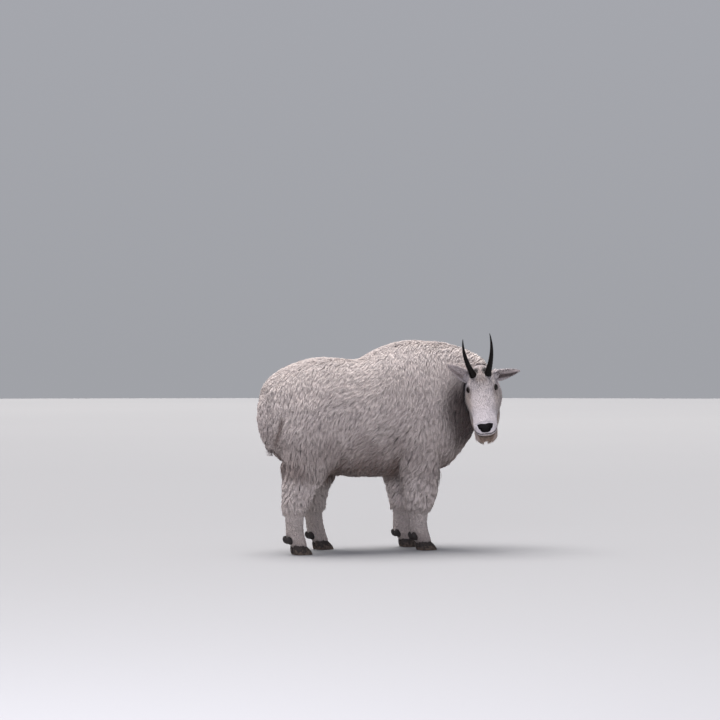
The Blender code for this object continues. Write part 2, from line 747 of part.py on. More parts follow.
def coat_locks(core):
    """The long coat over the core, as locks that overlap along its lie."""
    chance = random.Random(SEED)
    plain = body_core(0.0, 6000)
    bpy.context.view_layer.update()
    graph = bpy.context.evaluated_depsgraph_get()
    skin = BVHTree.FromObject(core, graph)
    outline = BVHTree.FromObject(plain, graph)
    locks = [
        lock(skin, outline, place, normal, spacing, chance)
        for place, normal, spacing in roots_of_locks(core, skin, chance)
    ]
    remove(plain)
    return [made for made in locks if made]


def hoof(name, foot, outward):
    """One toe of a cloven foot: flat sole, sloping front and a flat face to its neighbour."""
    sides = 12
    splay = Matrix.Rotation(math.radians(4 * outward), 4, "Z")
    work = bmesh.new()
    loops = []
    for height, front, back, width in HOOF:
        loop = []
        for k in range(sides):
            angle = 2 * math.pi * k / sides
            c, s = math.cos(angle), math.sin(angle)
            reach = front if c > 0 else back
            narrow = 1 - 0.42 * max(c, 0) ** 2
            inner = 0.80 if s * outward < 0 else 1.0
            place = splay @ Vector((c * reach, s * width * narrow * inner, 0))
            place += Vector((-0.20 * height, 0.0205 * outward, height))
            loop.append(work.verts.new(foot + place))
        loops.append(loop)
    for near, far in zip(loops, loops[1:]):
        for k in range(sides):
            work.faces.new((near[k], near[(k + 1) % sides], far[(k + 1) % sides], far[k]))
    work.faces.new(loops[0])
    work.faces.new(loops[-1])
    return object_from(work, name)


def dewclaw(name, foot, outward):
    """A small blunt claw behind the fetlock."""
    made = ball(name, Vector((0, 0, 0)), 1.0, 7, 5)
    tilt = Matrix.Rotation(math.radians(-35), 4, "Y")
    place = Matrix.Translation(foot + Vector((-0.060, 0.020 * outward, 0.066)))
    made.data.transform(place @ tilt @ Matrix.Diagonal((0.015, 0.0108, 0.021, 1)))
    return made


def foot_parts():
    parts = {}
    for (end, side), foot in foot_places().items():
        for name, outward in (("outer", SIDES[side]), ("inner", -SIDES[side])):
            parts[f"hoof_{end}_{side}_{name}"] = hoof(f"hoof_{end}_{side}_{name}", foot, outward)
            parts[f"dewclaw_{end}_{side}_{name}"] = dewclaw(f"dewclaw_{end}_{side}_{name}", foot, outward)
    return parts


def block(name, low, high, grow, lean=0.0):
    """A box from its low to its high corner. lean slides its top forward for each metre of height."""
    work = bmesh.new()
    bmesh.ops.create_cube(work, size=1.0)
    low, high = Vector(low) - Vector((grow,) * 3), Vector(high) + Vector((grow,) * 3)
    for vertex in work.verts:
        corner = [(low[i] if vertex.co[i] < 0 else high[i]) for i in range(3)]
        vertex.co = Vector((corner[0] + lean * corner[2], corner[1], corner[2]))
    return object_from(work, name)


def post(name, low, high, radius, grow):
    """A round post between two heights on a line."""
    low, high = Vector(low), Vector(high)
    line = (high - low).normalized()
    work = bmesh.new()
    depth = (high - low).length + 2 * grow
    wide = radius + grow
    bmesh.ops.create_cone(work, cap_ends=True, segments=16, radius1=wide, radius2=wide, depth=depth)
    made = object_from(work, name)
    turn = line.to_track_quat("Z", "X").to_matrix().to_4x4()
    made.data.transform(Matrix.Translation((low + high) / 2) @ turn)
    return made


def regions(grow=0.0):
    """What each node of the body takes from the whole, in the order of cutting. The rest is the torso."""
    made = {"tail": block("tail", (-0.70, -0.066, 0.440), (-0.452, 0.066, 0.80), grow)}
    for (end, side), rings in leg_rings().items():
        ankle = rings[-5]
        foot = foot_places()[end, side]
        low, high = (foot.x, foot.y, -0.03), (ankle.x, ankle.y, ankle.z - 0.007)
        made[f"leg_{end}_{side}_lower"] = post("lower", low, high, 0.053, grow)
    for (end, side), rings in leg_rings().items():
        low_y, high_y = min(0, 0.36 * SIDES[side]), max(0, 0.36 * SIDES[side])
        low_x, high_x = (0.08, 0.42) if end == "fore" else (-0.62, -0.08)
        low, high = (low_x, low_y, -0.03), (high_x, high_y, LEG_TOP)
        made[f"leg_{end}_{side}_upper"] = block("upper", low, high, grow)
    made["neck"] = block("neck", (0.500, -0.5, 0.20), (0.95, 0.5, 1.20), grow, lean=-0.20)
    return made


def part_body(whole):
    """Parts the whole body by thin cuts, and returns its nodes by name."""
    nodes = {}
    for name, region in regions().items():
        nodes[name] = combine(copy_of(whole, name), [region], "INTERSECT")
        cutter = regions(GAP)
        combine(whole, [cutter.pop(name)], "DIFFERENCE")
        remove(*cutter.values())
    whole.name = "torso"
    nodes["torso"] = whole
    return {name: keep_largest(node) for name, node in nodes.items()}


# Colour, roughness and metallic value
FINISHES = {
    "coat": ((0.78, 0.73, 0.66), 0.9, 0.0),
    "horn": ((0.035, 0.028, 0.027), 0.45, 0.0),
    "nose": ((0.030, 0.025, 0.025), 0.35, 0.0),
    "eye": ((0.020, 0.014, 0.010), 0.08, 0.0),
    "hoof": ((0.050, 0.042, 0.040), 0.5, 0.0),
}


def finish_of(name):
    for start in ("horn", "nose", "eye"):
        if name.startswith(start):
            return start
    return "hoof" if name.startswith(("hoof", "dewclaw")) else "coat"


def paint(nodes):
    for name, node in nodes.items():
        colour, roughness, metallic = FINISHES[finish_of(name)]
        material = bpy.data.materials.new(name)
        material.use_nodes = True
        shader = material.node_tree.nodes["Principled BSDF"]
        shader.inputs["Base Color"].default_value = (*colour, 1)
        shader.inputs["Roughness"].default_value = roughness
        shader.inputs["Metallic"].default_value = metallic
        node.data.materials.clear()
        node.data.materials.append(material)


def main():
    clear_scene()
    goat = new_collection("mountain_goat")
    head, seats = head_parts()
    feet = foot_parts()
    whole = body_core(CORE_SHARE, CORE_FACES)
    combine(whole, coat_locks(whole), "UNION")
    reduce_to(keep_largest(whole), COAT_FACES)
    seats += [copy_of(part, "seat", GAP) for part in feet.values()]
    combine(whole, seats, "DIFFERENCE")
    nodes = {**part_body(whole), **head, **feet}
    paint(nodes)
    stand = bpy.data.objects.new("stance", None)
    goat.objects.link(stand)
    for name, node in nodes.items():
        node.name = name
        for held in list(node.users_collection):
            held.objects.unlink(node)
        goat.objects.link(node)
        node.parent = stand
    stand.location = -ORIGIN


main()
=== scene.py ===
"""The looks of a life-size mountain goat, which stands side on and looks back over its right shoulder.

Metres, +Z up, in the frame's own place: the goat faces +X and its left side is +Y. Shapes are made round
the middle of the trunk, as in the part's source, and moved to the frame's origin at the end. One skin lies
under the coat, and the coat over it is made of thin wool tufts, each a closed and tapered solid.
"""

import math
from collections import namedtuple

import bmesh
import bpy
import numpy as np
from mathutils import Matrix, Vector
from mathutils.bvhtree import BVHTree
from mathutils.kdtree import KDTree


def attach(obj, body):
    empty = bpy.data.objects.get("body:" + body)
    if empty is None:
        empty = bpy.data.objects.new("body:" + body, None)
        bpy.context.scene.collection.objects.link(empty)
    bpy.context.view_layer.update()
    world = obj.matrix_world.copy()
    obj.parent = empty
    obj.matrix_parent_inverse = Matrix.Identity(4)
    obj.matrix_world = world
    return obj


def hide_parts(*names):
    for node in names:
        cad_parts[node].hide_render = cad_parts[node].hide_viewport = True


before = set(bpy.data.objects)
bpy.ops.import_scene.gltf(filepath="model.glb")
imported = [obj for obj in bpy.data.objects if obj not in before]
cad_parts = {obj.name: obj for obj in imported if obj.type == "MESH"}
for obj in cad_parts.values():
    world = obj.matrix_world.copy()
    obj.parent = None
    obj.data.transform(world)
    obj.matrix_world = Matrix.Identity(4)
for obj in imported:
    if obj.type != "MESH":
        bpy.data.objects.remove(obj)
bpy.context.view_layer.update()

# Driving dimensions, the same as the solids'
HUMP_HEIGHT = 0.974
CROUP_HEIGHT = 0.893
BELLY_HEIGHT = 0.335
FORE_FOOT = Vector((0.268, 0.100, 0.0))
HIND_FOOT = Vector((-0.350, 0.112, 0.0))
HIND_STRIDE = {"right": 0.0, "left": 0.190}
HORN_LENGTH = {"right": 0.192, "left": 0.208}
EAR_LENGTH = 0.124
EYE_RADIUS = 0.0155
HEAD_AT = Vector((0.5225, -0.1785, 0.737))
HEAD_YAW, HEAD_PITCH, HEAD_ROLL = -117.0, 57.0, 6.0
CHAPS_END = 0.205

# The middle of the outline on the ground, measured from the middle of the trunk
ORIGIN = Vector((0.086, -0.049, 0.0))

# The skin lies this share of the coat's depth inside the outline
SKIN_SHARE = 0.62
SEED = 11

UP, FORWARD, LEFT = Vector((0, 0, 1)), Vector((1, 0, 0)), Vector((0, 1, 0))
SIDES = {"right": -1.0, "left": 1.0}

# A ring of a body part: its centre, half its width, how far it reaches towards the crest and away from
# it, and the depth of the coat there. The crest is the back of a trunk or neck and the front of a leg.
Ring = namedtuple("Ring", "x y z width rise drop coat")


def trunk_ring(x, top, bottom, width, coat=0.045, widest=0.44):
    middle = bottom + widest * (top - bottom)
    return Ring(x, 0.0, middle, width, top - middle, middle - bottom, coat)


TRUNK = [
    trunk_ring(-0.484, 0.735, 0.580, 0.060),
    trunk_ring(-0.464, 0.782, 0.490, 0.115),
    trunk_ring(-0.405, 0.832, 0.420, 0.160),
    trunk_ring(-0.310, 0.873, 0.380, 0.181),
    trunk_ring(-0.200, CROUP_HEIGHT, 0.352, 0.188),
    trunk_ring(-0.040, 0.884, BELLY_HEIGHT, 0.192),
    trunk_ring(0.060, 0.922, BELLY_HEIGHT, 0.196),
    trunk_ring(0.150, 0.957, BELLY_HEIGHT, 0.200, 0.055),
    trunk_ring(0.250, HUMP_HEIGHT, 0.332, 0.196, 0.060),
    trunk_ring(0.330, 0.966, 0.350, 0.176, 0.060),
    trunk_ring(0.385, 0.945, 0.372, 0.138, 0.060),
    trunk_ring(0.418, 0.880, 0.430, 0.075, 0.060),
]

NECK = [
    Ring(0.240, 0.000, 0.660, 0.176, 0.310, 0.315, 0.060),
    Ring(0.350, 0.004, 0.685, 0.164, 0.284, 0.335, 0.060),
    Ring(0.435, 0.002, 0.712, 0.144, 0.249, 0.325, 0.060),
    Ring(0.510, -0.026, 0.737, 0.122, 0.206, 0.252, 0.055),
    Ring(0.555, -0.070, 0.755, 0.102, 0.160, 0.175, 0.050),
    Ring(0.578, -0.105, 0.760, 0.074, 0.112, 0.115, 0.045),
    Ring(0.584, -0.125, 0.762, 0.040, 0.060, 0.060, 0.040),
]

FORELEG = [
    Ring(0.212, 0.105, 0.590, 0.080, 0.110, 0.105, 0.050),
    Ring(0.218, 0.108, 0.480, 0.085, 0.106, 0.104, 0.050),
    Ring(0.228, 0.106, 0.370, 0.080, 0.105, 0.096, 0.050),
    Ring(0.236, 0.103, 0.290, 0.071, 0.098, 0.080, 0.045),
    Ring(0.239, 0.101, 0.228, 0.059, 0.073, 0.064, 0.032),
    Ring(0.237, 0.100, 0.185, 0.043, 0.050, 0.048, 0.010),
    Ring(0.235, 0.100, 0.135, 0.037, 0.041, 0.042, 0.007),
    Ring(0.240, 0.100, 0.088, 0.042, 0.042, 0.046, 0.007),
    Ring(0.254, 0.100, 0.056, 0.042, 0.039, 0.043, 0.007),
    Ring(0.263, 0.100, 0.034, 0.041, 0.036, 0.038, 0.006),
]

HINDLEG = [
    Ring(-0.315, 0.095, 0.680, 0.090, 0.130, 0.130, 0.045),
    Ring(-0.295, 0.104, 0.560, 0.095, 0.160, 0.160, 0.050),
    Ring(-0.290, 0.108, 0.460, 0.088, 0.160, 0.150, 0.050),
    Ring(-0.322, 0.112, 0.375, 0.076, 0.126, 0.120, 0.050),
    Ring(-0.360, 0.113, 0.300, 0.065, 0.098, 0.078, 0.040),
    Ring(-0.376, 0.112, 0.235, 0.059, 0.078, 0.064, 0.034),
    Ring(-0.379, 0.112, 0.185, 0.043, 0.050, 0.047, 0.010),
    Ring(-0.377, 0.112, 0.135, 0.037, 0.041, 0.042, 0.007),
    Ring(-0.373, 0.112, 0.088, 0.041, 0.041, 0.045, 0.007),
    Ring(-0.361, 0.112, 0.056, 0.041, 0.038, 0.042, 0.007),
    Ring(-0.353, 0.112, 0.034, 0.040, 0.035, 0.037, 0.006),
]

TAIL = [
    Ring(-0.390, 0.0, 0.770, 0.035, 0.030, 0.030, 0.030),
    Ring(-0.432, 0.0, 0.755, 0.042, 0.034, 0.034, 0.030),
    Ring(-0.466, 0.0, 0.712, 0.050, 0.036, 0.036, 0.030),
    Ring(-0.480, 0.0, 0.645, 0.055, 0.036, 0.036, 0.030),
    Ring(-0.478, 0.0, 0.570, 0.050, 0.034, 0.034, 0.030),
    Ring(-0.462, 0.0, 0.505, 0.036, 0.026, 0.026, 0.024),
    Ring(-0.450, 0.0, 0.465, 0.014, 0.010, 0.010, 0.010),
]

# The head in its own frame: x runs to the nose, z to the forehead, and the eyes are at x = 0
HEAD = [
    Ring(-0.122, 0.0, -0.010, 0.022, 0.024, 0.022, 0.003),
    Ring(-0.108, 0.0, -0.012, 0.048, 0.048, 0.050, 0.003),
    Ring(-0.080, 0.0, -0.018, 0.066, 0.070, 0.078, 0.003),
    Ring(-0.045, 0.0, -0.022, 0.077, 0.080, 0.090, 0.003),
    Ring(0.000, 0.0, -0.024, 0.081, 0.078, 0.090, 0.003),
    Ring(0.045, 0.0, -0.022, 0.079, 0.067, 0.080, 0.003),
    Ring(0.090, 0.0, -0.020, 0.068, 0.055, 0.066, 0.0025),
    Ring(0.130, 0.0, -0.020, 0.056, 0.047, 0.057, 0.002),
    Ring(0.165, 0.0, -0.021, 0.053, 0.041, 0.053, 0.0015),
    Ring(0.190, 0.0, -0.023, 0.050, 0.034, 0.048, 0.001),
    Ring(0.208, 0.0, -0.025, 0.042, 0.026, 0.040, 0.001),
    Ring(0.218, 0.0, -0.026, 0.026, 0.015, 0.024, 0.001),
]

# Swellings and hollows of the head: where, how wide and how high. Each is made on both sides.
HEAD_FORMS = {
    "brow": (Vector((-0.004, 0.058, 0.036)), 0.024, 0.007),
    "cheek": (Vector((-0.008, 0.062, -0.070)), 0.042, 0.008),
    "tear_hollow": (Vector((0.045, 0.052, 0.012)), 0.024, -0.004),
    "horn_seat": (Vector((-0.050, 0.034, 0.056)), 0.026, 0.006),
    "upper_lip": (Vector((0.172, 0.040, -0.026)), 0.024, 0.005),
    "chin": (Vector((0.172, 0.014, -0.066)), 0.024, 0.005),
}

EYE_AT = Vector((0.002, 0.0560, 0.017))
EYE_LOOKS = Vector((0.42, 0.72, 0.55)).normalized()
HORN_AT = Vector((-0.052, 0.033, 0.052))
EAR_AT = Vector((-0.068, 0.062, 0.015))
# Which way each ear runs from its root and which way its cup opens, in the head's frame
EAR_RUNS = {"right": Vector((-0.24, -0.70, 0.68)), "left": Vector((-0.02, 0.99, 0.08))}
EAR_OPENS = {"right": Vector((0.62, 0.0, 0.78)), "left": Vector((0.86, 0.0, 0.48))}
# Half of the nose pad's outline seen from the front, from its top down
NOSE_FRONT = [
    (0.012, 0.008),
    (0.032, 0.011),
    (0.041, 0.006),
    (0.033, -0.004),
    (0.019, -0.014),
    (0.007, -0.020),
]
MOUTH_LEVEL = -0.031
MOUTH_CORNER = 0.132

# A toe's hoof from sole to coronet: height, reach to the front and to the back, and half its width
HOOF = [
    (0.000, 0.050, 0.034, 0.0175),
    (0.014, 0.048, 0.036, 0.0190),
    (0.032, 0.036, 0.034, 0.0178),
    (0.050, 0.018, 0.026, 0.0140),
]


def object_from(work, name, triangles=True):
    """The bmesh as an object of that name, with faces that point out."""
    bmesh.ops.recalc_face_normals(work, faces=work.faces)
    if triangles:
        bmesh.ops.triangulate(work, faces=work.faces)
    mesh = bpy.data.meshes.new(name)
    work.to_mesh(mesh)
    work.free()
    made = bpy.data.objects.new(name, mesh)
    bpy.context.scene.collection.objects.link(made)
    return made


def settle(thing):
    """Applies the object's modifiers, so that its mesh is what shows."""
    bpy.context.view_layer.update()
    graph = bpy.context.evaluated_depsgraph_get()
    mesh = bpy.data.meshes.new_from_object(thing.evaluated_get(graph))
    thing.modifiers.clear()
    thing.data = mesh
    return thing


def remove(*things):
    for thing in things:
        bpy.data.objects.remove(thing)


def combine(thing, others, operation):
    """Joins others to thing, cuts them from it, or keeps what they share, and removes them."""
    if operation == "DIFFERENCE" and len(others) > 1:
        # Cutters that overlap are joined first, or slivers of them stay
        others = [combine(others[0], others[1:], "UNION")]
    hold = bpy.data.collections.new("operands")
    bpy.context.scene.collection.children.link(hold)
    for other in others:
        hold.objects.link(other)
    boolean = thing.modifiers.new("combine", "BOOLEAN")
    boolean.operation = operation
    boolean.operand_type = "COLLECTION"
    boolean.collection = hold
    boolean.solver = "MANIFOLD"
    settle(thing)
    remove(*others)
    bpy.data.collections.remove(hold)
    return thing


def copy_of(thing, name):
    made = bpy.data.objects.new(name, thing.data.copy())
    bpy.context.scene.collection.objects.link(made)
    return made


def even_out(thing, size, rounds, factor=0.5):
    """Lays an even mesh over the shape, with faces of that size, and smooths it."""
    remesh = thing.modifiers.new("even", "REMESH")
    remesh.mode = "VOXEL"
    remesh.voxel_size = size
    blend = thing.modifiers.new("blend", "SMOOTH")
    blend.factor = factor
    blend.iterations = rounds
    return settle(thing)


def keep_largest(thing):
    """Only the largest closed surface stays."""
    work = bmesh.new()
    work.from_mesh(thing.data)
    todo, islands = set(work.verts), []
    while todo:
        island, front = set(), [todo.pop()]
        while front:
            vertex = front.pop()
            island.add(vertex)
            for edge in vertex.link_edges:
                other = edge.other_vert(vertex)
                if other in todo:
                    todo.remove(other)
                    front.append(other)
        islands.append(island)
    islands.sort(key=len)
    for island in islands[:-1]:
        bmesh.ops.delete(work, geom=list(island), context="VERTS")
    work.to_mesh(thing.data)
    work.free()
    return thing


def smooth_between(rings, steps):
    """More rings between the given ones, on a Catmull-Rom curve through all their sizes."""
    made = []
    for i in range(len(rings) - 1):
        a, b = rings[max(i - 1, 0)], rings[i]
        c, d = rings[i + 1], rings[min(i + 2, len(rings) - 1)]
        for step in range(steps):
            t = step / steps
            made.append(
                Ring(
                    *(
                        q
                        + 0.5 * (r - p) * t
                        + 0.5 * (2 * p - 5 * q + 4 * r - s) * t**2
                        + 0.5 * (3 * q - p - 3 * r + s) * t**3
                        for p, q, r, s in zip(a, b, c, d)
                    )
                )
            )
    return made + [rings[-1]]


def skin_between(work, loops):
    """Faces between rings of points, and a cap at each end."""
    count = len(loops[0])
    for near, far in zip(loops, loops[1:]):
        for k in range(count):
            work.faces.new((near[k], near[(k + 1) % count], far[(k + 1) % count], far[k]))
    work.faces.new(loops[0])
    work.faces.new(loops[-1])


def loft(name, rings, crest, inset=0.0, sides=28, steps=4, square=2.15, pear=0.0):
    """A closed body through the rings, which lie upright in a body and level in a leg, where the crest is
    the front. inset is the share of the coat's depth left off it, and pear the share by which it is
    narrower at the crest and wider below."""
    work = bmesh.new()
    loops = []
    for ring in smooth_between(rings, steps):
        less = inset * ring.coat
        loop = []
        for k in range(sides):
            angle = 2 * math.pi * (k + 0.5) / sides
            c, s = math.cos(angle), math.sin(angle)
            reach = ring.rise if s > 0 else ring.drop
            width = max(ring.width - less, 0.004) * (1 - pear * s)
            aside = math.copysign(abs(c) ** (2 / square), c) * width
            upward = math.copysign(abs(s) ** (2 / square), s) * max(reach - less, 0.004)
            loop.append(work.verts.new(Vector((ring.x, ring.y + aside, ring.z)) + crest * upward))
        loops.append(loop)
    skin_between(work, loops)
    return object_from(work, name)


def mirrored(rings, side, stride=0.0):
    """A leg's rings on one side. stride moves the foot forward and leaves the top where it is."""
    top = rings[0].z
    return [r._replace(y=r.y * SIDES[side], x=r.x + stride * (1 - (r.z / top) ** 1.8)) for r in rings]


def foot_places():
    places = {}
    for side, sign in SIDES.items():
        places["fore", side] = Vector((FORE_FOOT.x, FORE_FOOT.y * sign, 0))
        places["hind", side] = Vector((HIND_FOOT.x + HIND_STRIDE[side], HIND_FOOT.y * sign, 0))
    return places


def body_form(inset, size, rounds):
    """Trunk, neck, tail and legs as one smooth closed body."""
    pieces = [loft("neck_form", NECK, UP, inset, pear=0.18), loft("tail_form", TAIL, FORWARD, inset)]
    for side in SIDES:
        pieces.append(loft("fore_form", mirrored(FORELEG, side), FORWARD, inset))
        pieces.append(loft("hind_form", mirrored(HINDLEG, side, HIND_STRIDE[side]), FORWARD, inset))
    body = combine(loft("skin", TRUNK, UP, inset), pieces, "UNION")
    return keep_largest(even_out(body, size, rounds, 0.6))


def head_frame():
    """The head's own frame in the world: its x to the nose, its y to its left, its z to the forehead."""
    yaw = Matrix.Rotation(math.radians(HEAD_YAW), 4, "Z")
    pitch = Matrix.Rotation(math.radians(HEAD_PITCH), 4, "Y")
    roll = Matrix.Rotation(math.radians(HEAD_ROLL), 4, "X")
    return Matrix.Translation(HEAD_AT) @ yaw @ roll @ pitch


HEAD_FRAME = head_frame()
FROM_WORLD = HEAD_FRAME.inverted()


def across(place, sign):
    """The same place on the other side of the head when sign is -1."""
    return Vector((place.x, place.y * sign, place.z))


def shape_head(head):
    """Raises the brows, cheeks, lips and chin and presses in the hollow before each eye."""
    for vertex in head.data.vertices:
        moved = Vector()
        for place, radius, height in HEAD_FORMS.values():
            for sign in SIDES.values():
                apart = (vertex.co - across(place, sign)).length / radius
                moved += vertex.normal * height * math.exp(-apart * apart)
        vertex.co += moved
    head.data.update()


def ball(name, place, radius, segments=32, rings=20):
    work = bmesh.new()
    bmesh.ops.create_uvsphere(work, u_segments=segments, v_segments=rings, radius=radius)
    made = object_from(work, name)
    made.data.transform(Matrix.Translation(place))
    return made


def sight(sign):
    """The way an eye looks, and the ways along its almond, from nose to ear, and across it."""
    looks = across(EYE_LOOKS, sign)
    long_way = (FORWARD - looks * FORWARD.dot(looks)).normalized()
    return looks, long_way, looks.cross(long_way)


def eye_opening(sign):
    """The almond between the lids: what two wide cylinders along the line of sight share."""
    half_height, half_length, depth = 0.0102, 0.0152, 0.05
    radius = (half_height**2 + half_length**2) / (2 * half_height)
    looks, _, high_way = sight(sign)
    turn = looks.to_track_quat("Z", "X").to_matrix().to_4x4()
    place = across(EYE_AT, sign) + looks * (depth / 2 + 0.004)
    halves = []
    for way in (-1, 1):
        work = bmesh.new()
        bmesh.ops.create_cone(work, cap_ends=True, segments=56, radius1=radius, radius2=radius, depth=depth)
        half = object_from(work, "almond")
        half.data.transform(Matrix.Translation(place + high_way * way * (radius - half_height)) @ turn)
        halves.append(half)
    return combine(halves[0], halves[1:], "INTERSECT")


def ear_rings(side):
    """Where an ear lies: its root, the way it runs, the way its cup opens and the way across."""
    along = EAR_RUNS[side].normalized()
    opens = (EAR_OPENS[side] - along * EAR_OPENS[side].dot(along)).normalized()
    return across(EAR_AT, SIDES[side]), along, opens, along.cross(opens)


def ear_pieces(side):
    """A pointed leaf, rolled into a cup that closes towards its root, and the root itself."""
    long_steps, round_steps, wall = 26, 14, 0.0036
    root, along, opens, over = ear_rings(side)
    work = bmesh.new()
    loops = []
    for i in range(long_steps + 1):
        t = i / long_steps
        width = 0.0330 * (0.72 + 1.1 * t) * (1 - t) ** 0.95 + 0.0018
        curl = math.radians(112 - 70 * t)
        radius = width / math.sin(min(curl, math.pi / 2))
        # The cup's back stays on one line, and its tip bends a little forward
        middle = root + along * EAR_LENGTH * 0.975 * t + opens * (radius - 0.012 + 0.012 * t * t)
        loop = []
        for reach, order in ((radius, range(round_steps + 1)), (radius - wall, range(round_steps, -1, -1))):
            for k in order:
                angle = curl * (2 * k / round_steps - 1)
                turned = over * math.sin(angle) - opens * math.cos(angle)
                loop.append(work.verts.new(middle + turned * reach))
        loops.append(loop)
    skin_between(work, loops)
    return [object_from(work, "leaf"), ball("ear_root", root + opens * 0.006, 0.020)]


def nose_block(name, margin=0.0):
    """The prism that parts the bare nose pad from the muzzle."""
    outline = NOSE_FRONT + [(-y, z) for y, z in reversed(NOSE_FRONT)]
    outline = [(y + math.copysign(margin, y), z + math.copysign(margin, z + 0.004)) for y, z in outline]
    work = bmesh.new()
    loops = [[work.verts.new((x, y, z)) for y, z in outline] for x in (0.186 - margin, 0.26)]
    skin_between(work, loops)
    return object_from(work, name)


def nostril(sign):
    made = ball("nostril", Vector((0, 0, 0)), 1.0)
    place = Matrix.Translation(Vector((0.212, 0.0205 * sign, -0.004)))
    turn = Matrix.Rotation(math.radians(-35 * sign), 4, "X")
    made.data.transform(place @ turn @ Matrix.Diagonal((0.012, 0.0085, 0.0042, 1)))
    return made


def tube(name, points, radius):
    """A closed tube along the points, as a mesh."""
    curve = bpy.data.curves.new(name, "CURVE")
    curve.dimensions = "3D"
    curve.bevel_depth = radius
    curve.bevel_resolution = 3
    curve.use_fill_caps = True
    spline = curve.splines.new("POLY")
    spline.points.add(len(points) - 1)
    for held, point in zip(spline.points, points):
        held.co = (*point, 1.0)
    line = bpy.data.objects.new(name, curve)
    bpy.context.scene.collection.objects.link(line)
    bpy.context.view_layer.update()
    graph = bpy.context.evaluated_depsgraph_get()
    work = bmesh.new()
    work.from_mesh(bpy.data.meshes.new_from_object(line.evaluated_get(graph)))
    bmesh.ops.remove_doubles(work, verts=work.verts, dist=1e-5)
    remove(line)
    return object_from(work, name)


def mouth_line(head, radius):
    """The groove between the lips, laid on the muzzle from one corner round the front to the other."""
    tree = BVHTree.FromObject(head, bpy.context.evaluated_depsgraph_get())
    inside = Vector((MOUTH_CORNER, 0, MOUTH_LEVEL))
    points = []
    for k in range(29):
        angle = math.radians(84 * (k / 14 - 1))
        out = Vector((math.cos(angle), math.sin(angle), 0.09 * (1 - math.cos(angle))))
        points.append(tree.ray_cast(inside, out)[0])
    return tube("mouth_line", points, radius)


def head_forms():
    """The head's skin with its ears, and the bare nose pad, both in the head's frame."""
    head = loft("head_form", HEAD, UP, inset=1.0, sides=56, steps=6, square=2.3, pear=0.13)
    shape_head(head)
    pad = combine(copy_of(head, "nose_pad"), [nose_block("nose_front")], "INTERSECT")
    combine(pad, [nostril(sign) for sign in SIDES.values()], "DIFFERENCE")
    even_out(pad, 0.0009, 4)
    added = [ball("lids", across(EYE_AT, sign), EYE_RADIUS + 0.0024) for sign in SIDES.values()]
    for side in SIDES:
        added += ear_pieces(side)
    groove = mouth_line(head, 0.0034)
    combine(head, added, "UNION")
    openings = [eye_opening(sign) for sign in SIDES.values()]
    sockets = [ball("socket", across(EYE_AT, sign), EYE_RADIUS + 0.0002) for sign in SIDES.values()]
    combine(head, [groove, nose_block("nose_seat", 0.0006)] + openings + sockets, "DIFFERENCE")
    even_out(head, 0.0017, 2)
    return keep_largest(head), keep_largest(pad)


def unwrap(skin):
    """Lays the skin's own shape out flat. The coat's patches sit on this map too."""
    bpy.context.view_layer.objects.active = skin
    skin.select_set(True)
    bpy.ops.object.mode_set(mode="EDIT")
    bpy.ops.mesh.select_all(action="SELECT")
    bpy.ops.uv.smart_project(angle_limit=math.radians(72), island_margin=0.002)
    bpy.ops.object.mode_set(mode="OBJECT")
    skin.select_set(False)
    skin.data.uv_layers[0].name = "OFBake"


def rows(things, field, width):
    """One vector or number of each thing in a mesh's list, as an array."""
    found = np.empty(len(things) * width)
    things.foreach_get(field, found)
    return found.reshape(-1, width)


def unit(vectors):
    return vectors / np.maximum(np.linalg.norm(vectors, axis=1), 1e-9)[:, None]


def dot(a, b):
    return (a * b).sum(1)


def smooth_step(value, low, high):
    t = np.clip((value - low) / (high - low), 0, 1)
    return t * t * (3 - 2 * t)


# The skin as triangles: their corners, the corners' normals and places on the unwrap, and their areas
Surface = namedtuple("Surface", "corners normals unwrap area")


def surface_of(skin):
    mesh = skin.data
    mesh.calc_loop_triangles()
    verts = rows(mesh.loop_triangles, "vertices", 3).astype(int)
    loops = rows(mesh.loop_triangles, "loops", 3).astype(int)
    corners = rows(mesh.vertices, "co", 3)[verts]
    normals = rows(mesh.vertices, "normal", 3)[verts]
    flat = rows(mesh.uv_layers["OFBake"].data, "uv", 2)[loops]
    sides = corners[:, 1:] - corners[:, :1]
    area = 0.5 * np.linalg.norm(np.cross(sides[:, 0], sides[:, 1]), axis=1)
    return Surface(corners, normals, flat, area)


def scatter(surface, weight, count, dice):
    """Roots all over the surface, as close together as the weight asks."""
    share = np.cumsum(surface.area * weight)
    picks = (np.arange(count) + dice.random(count)) / count * share[-1]
    face = np.minimum(np.searchsorted(share, picks), len(share) - 1)
    a, b = dice.random((2, count))
    over = a + b > 1
    a[over], b[over] = 1 - a[over], 1 - b[over]
    mix = np.stack([1 - a - b, a, b], 1)[:, :, None]
    roots = (surface.corners[face] * mix).sum(1)
    ups = unit((surface.normals[face] * mix).sum(1))
    return roots, ups, (surface.unwrap[face] * mix).sum(1)


def in_head(places):
    """The same places in the head's frame."""
    matrix = np.array(FROM_WORLD)
    return places @ matrix[:3, :3].T + matrix[:3, 3]


def head_way(x, y, z):
    """A direction of the head's frame in the world."""
    return np.array((HEAD_FRAME.to_3x3() @ Vector((x, y, z))).normalized())


def ear_share(places, side):
    """How far along an ear each place lies, from 0 at its root to 1 at its tip, and 0 off the ear."""
    root, along, opens, _ = ear_rings(side)
    apart = in_head(places) - np.array(root)
    reach = apart @ np.array(along)
    aside = np.linalg.norm(apart - reach[:, None] * np.array(along), axis=1)
    share = np.clip(reach / EAR_LENGTH, 0, 1)
    return np.where((aside < 0.052) & (reach > 0.014), share, 0.0)


def on_head(places):
    """1 on the head's own skin and 0 on the body's."""
    nearest = [HEAD_TREE.find_nearest(place)[3] for place in places.tolist()]
    return np.array(nearest) < 0.0012


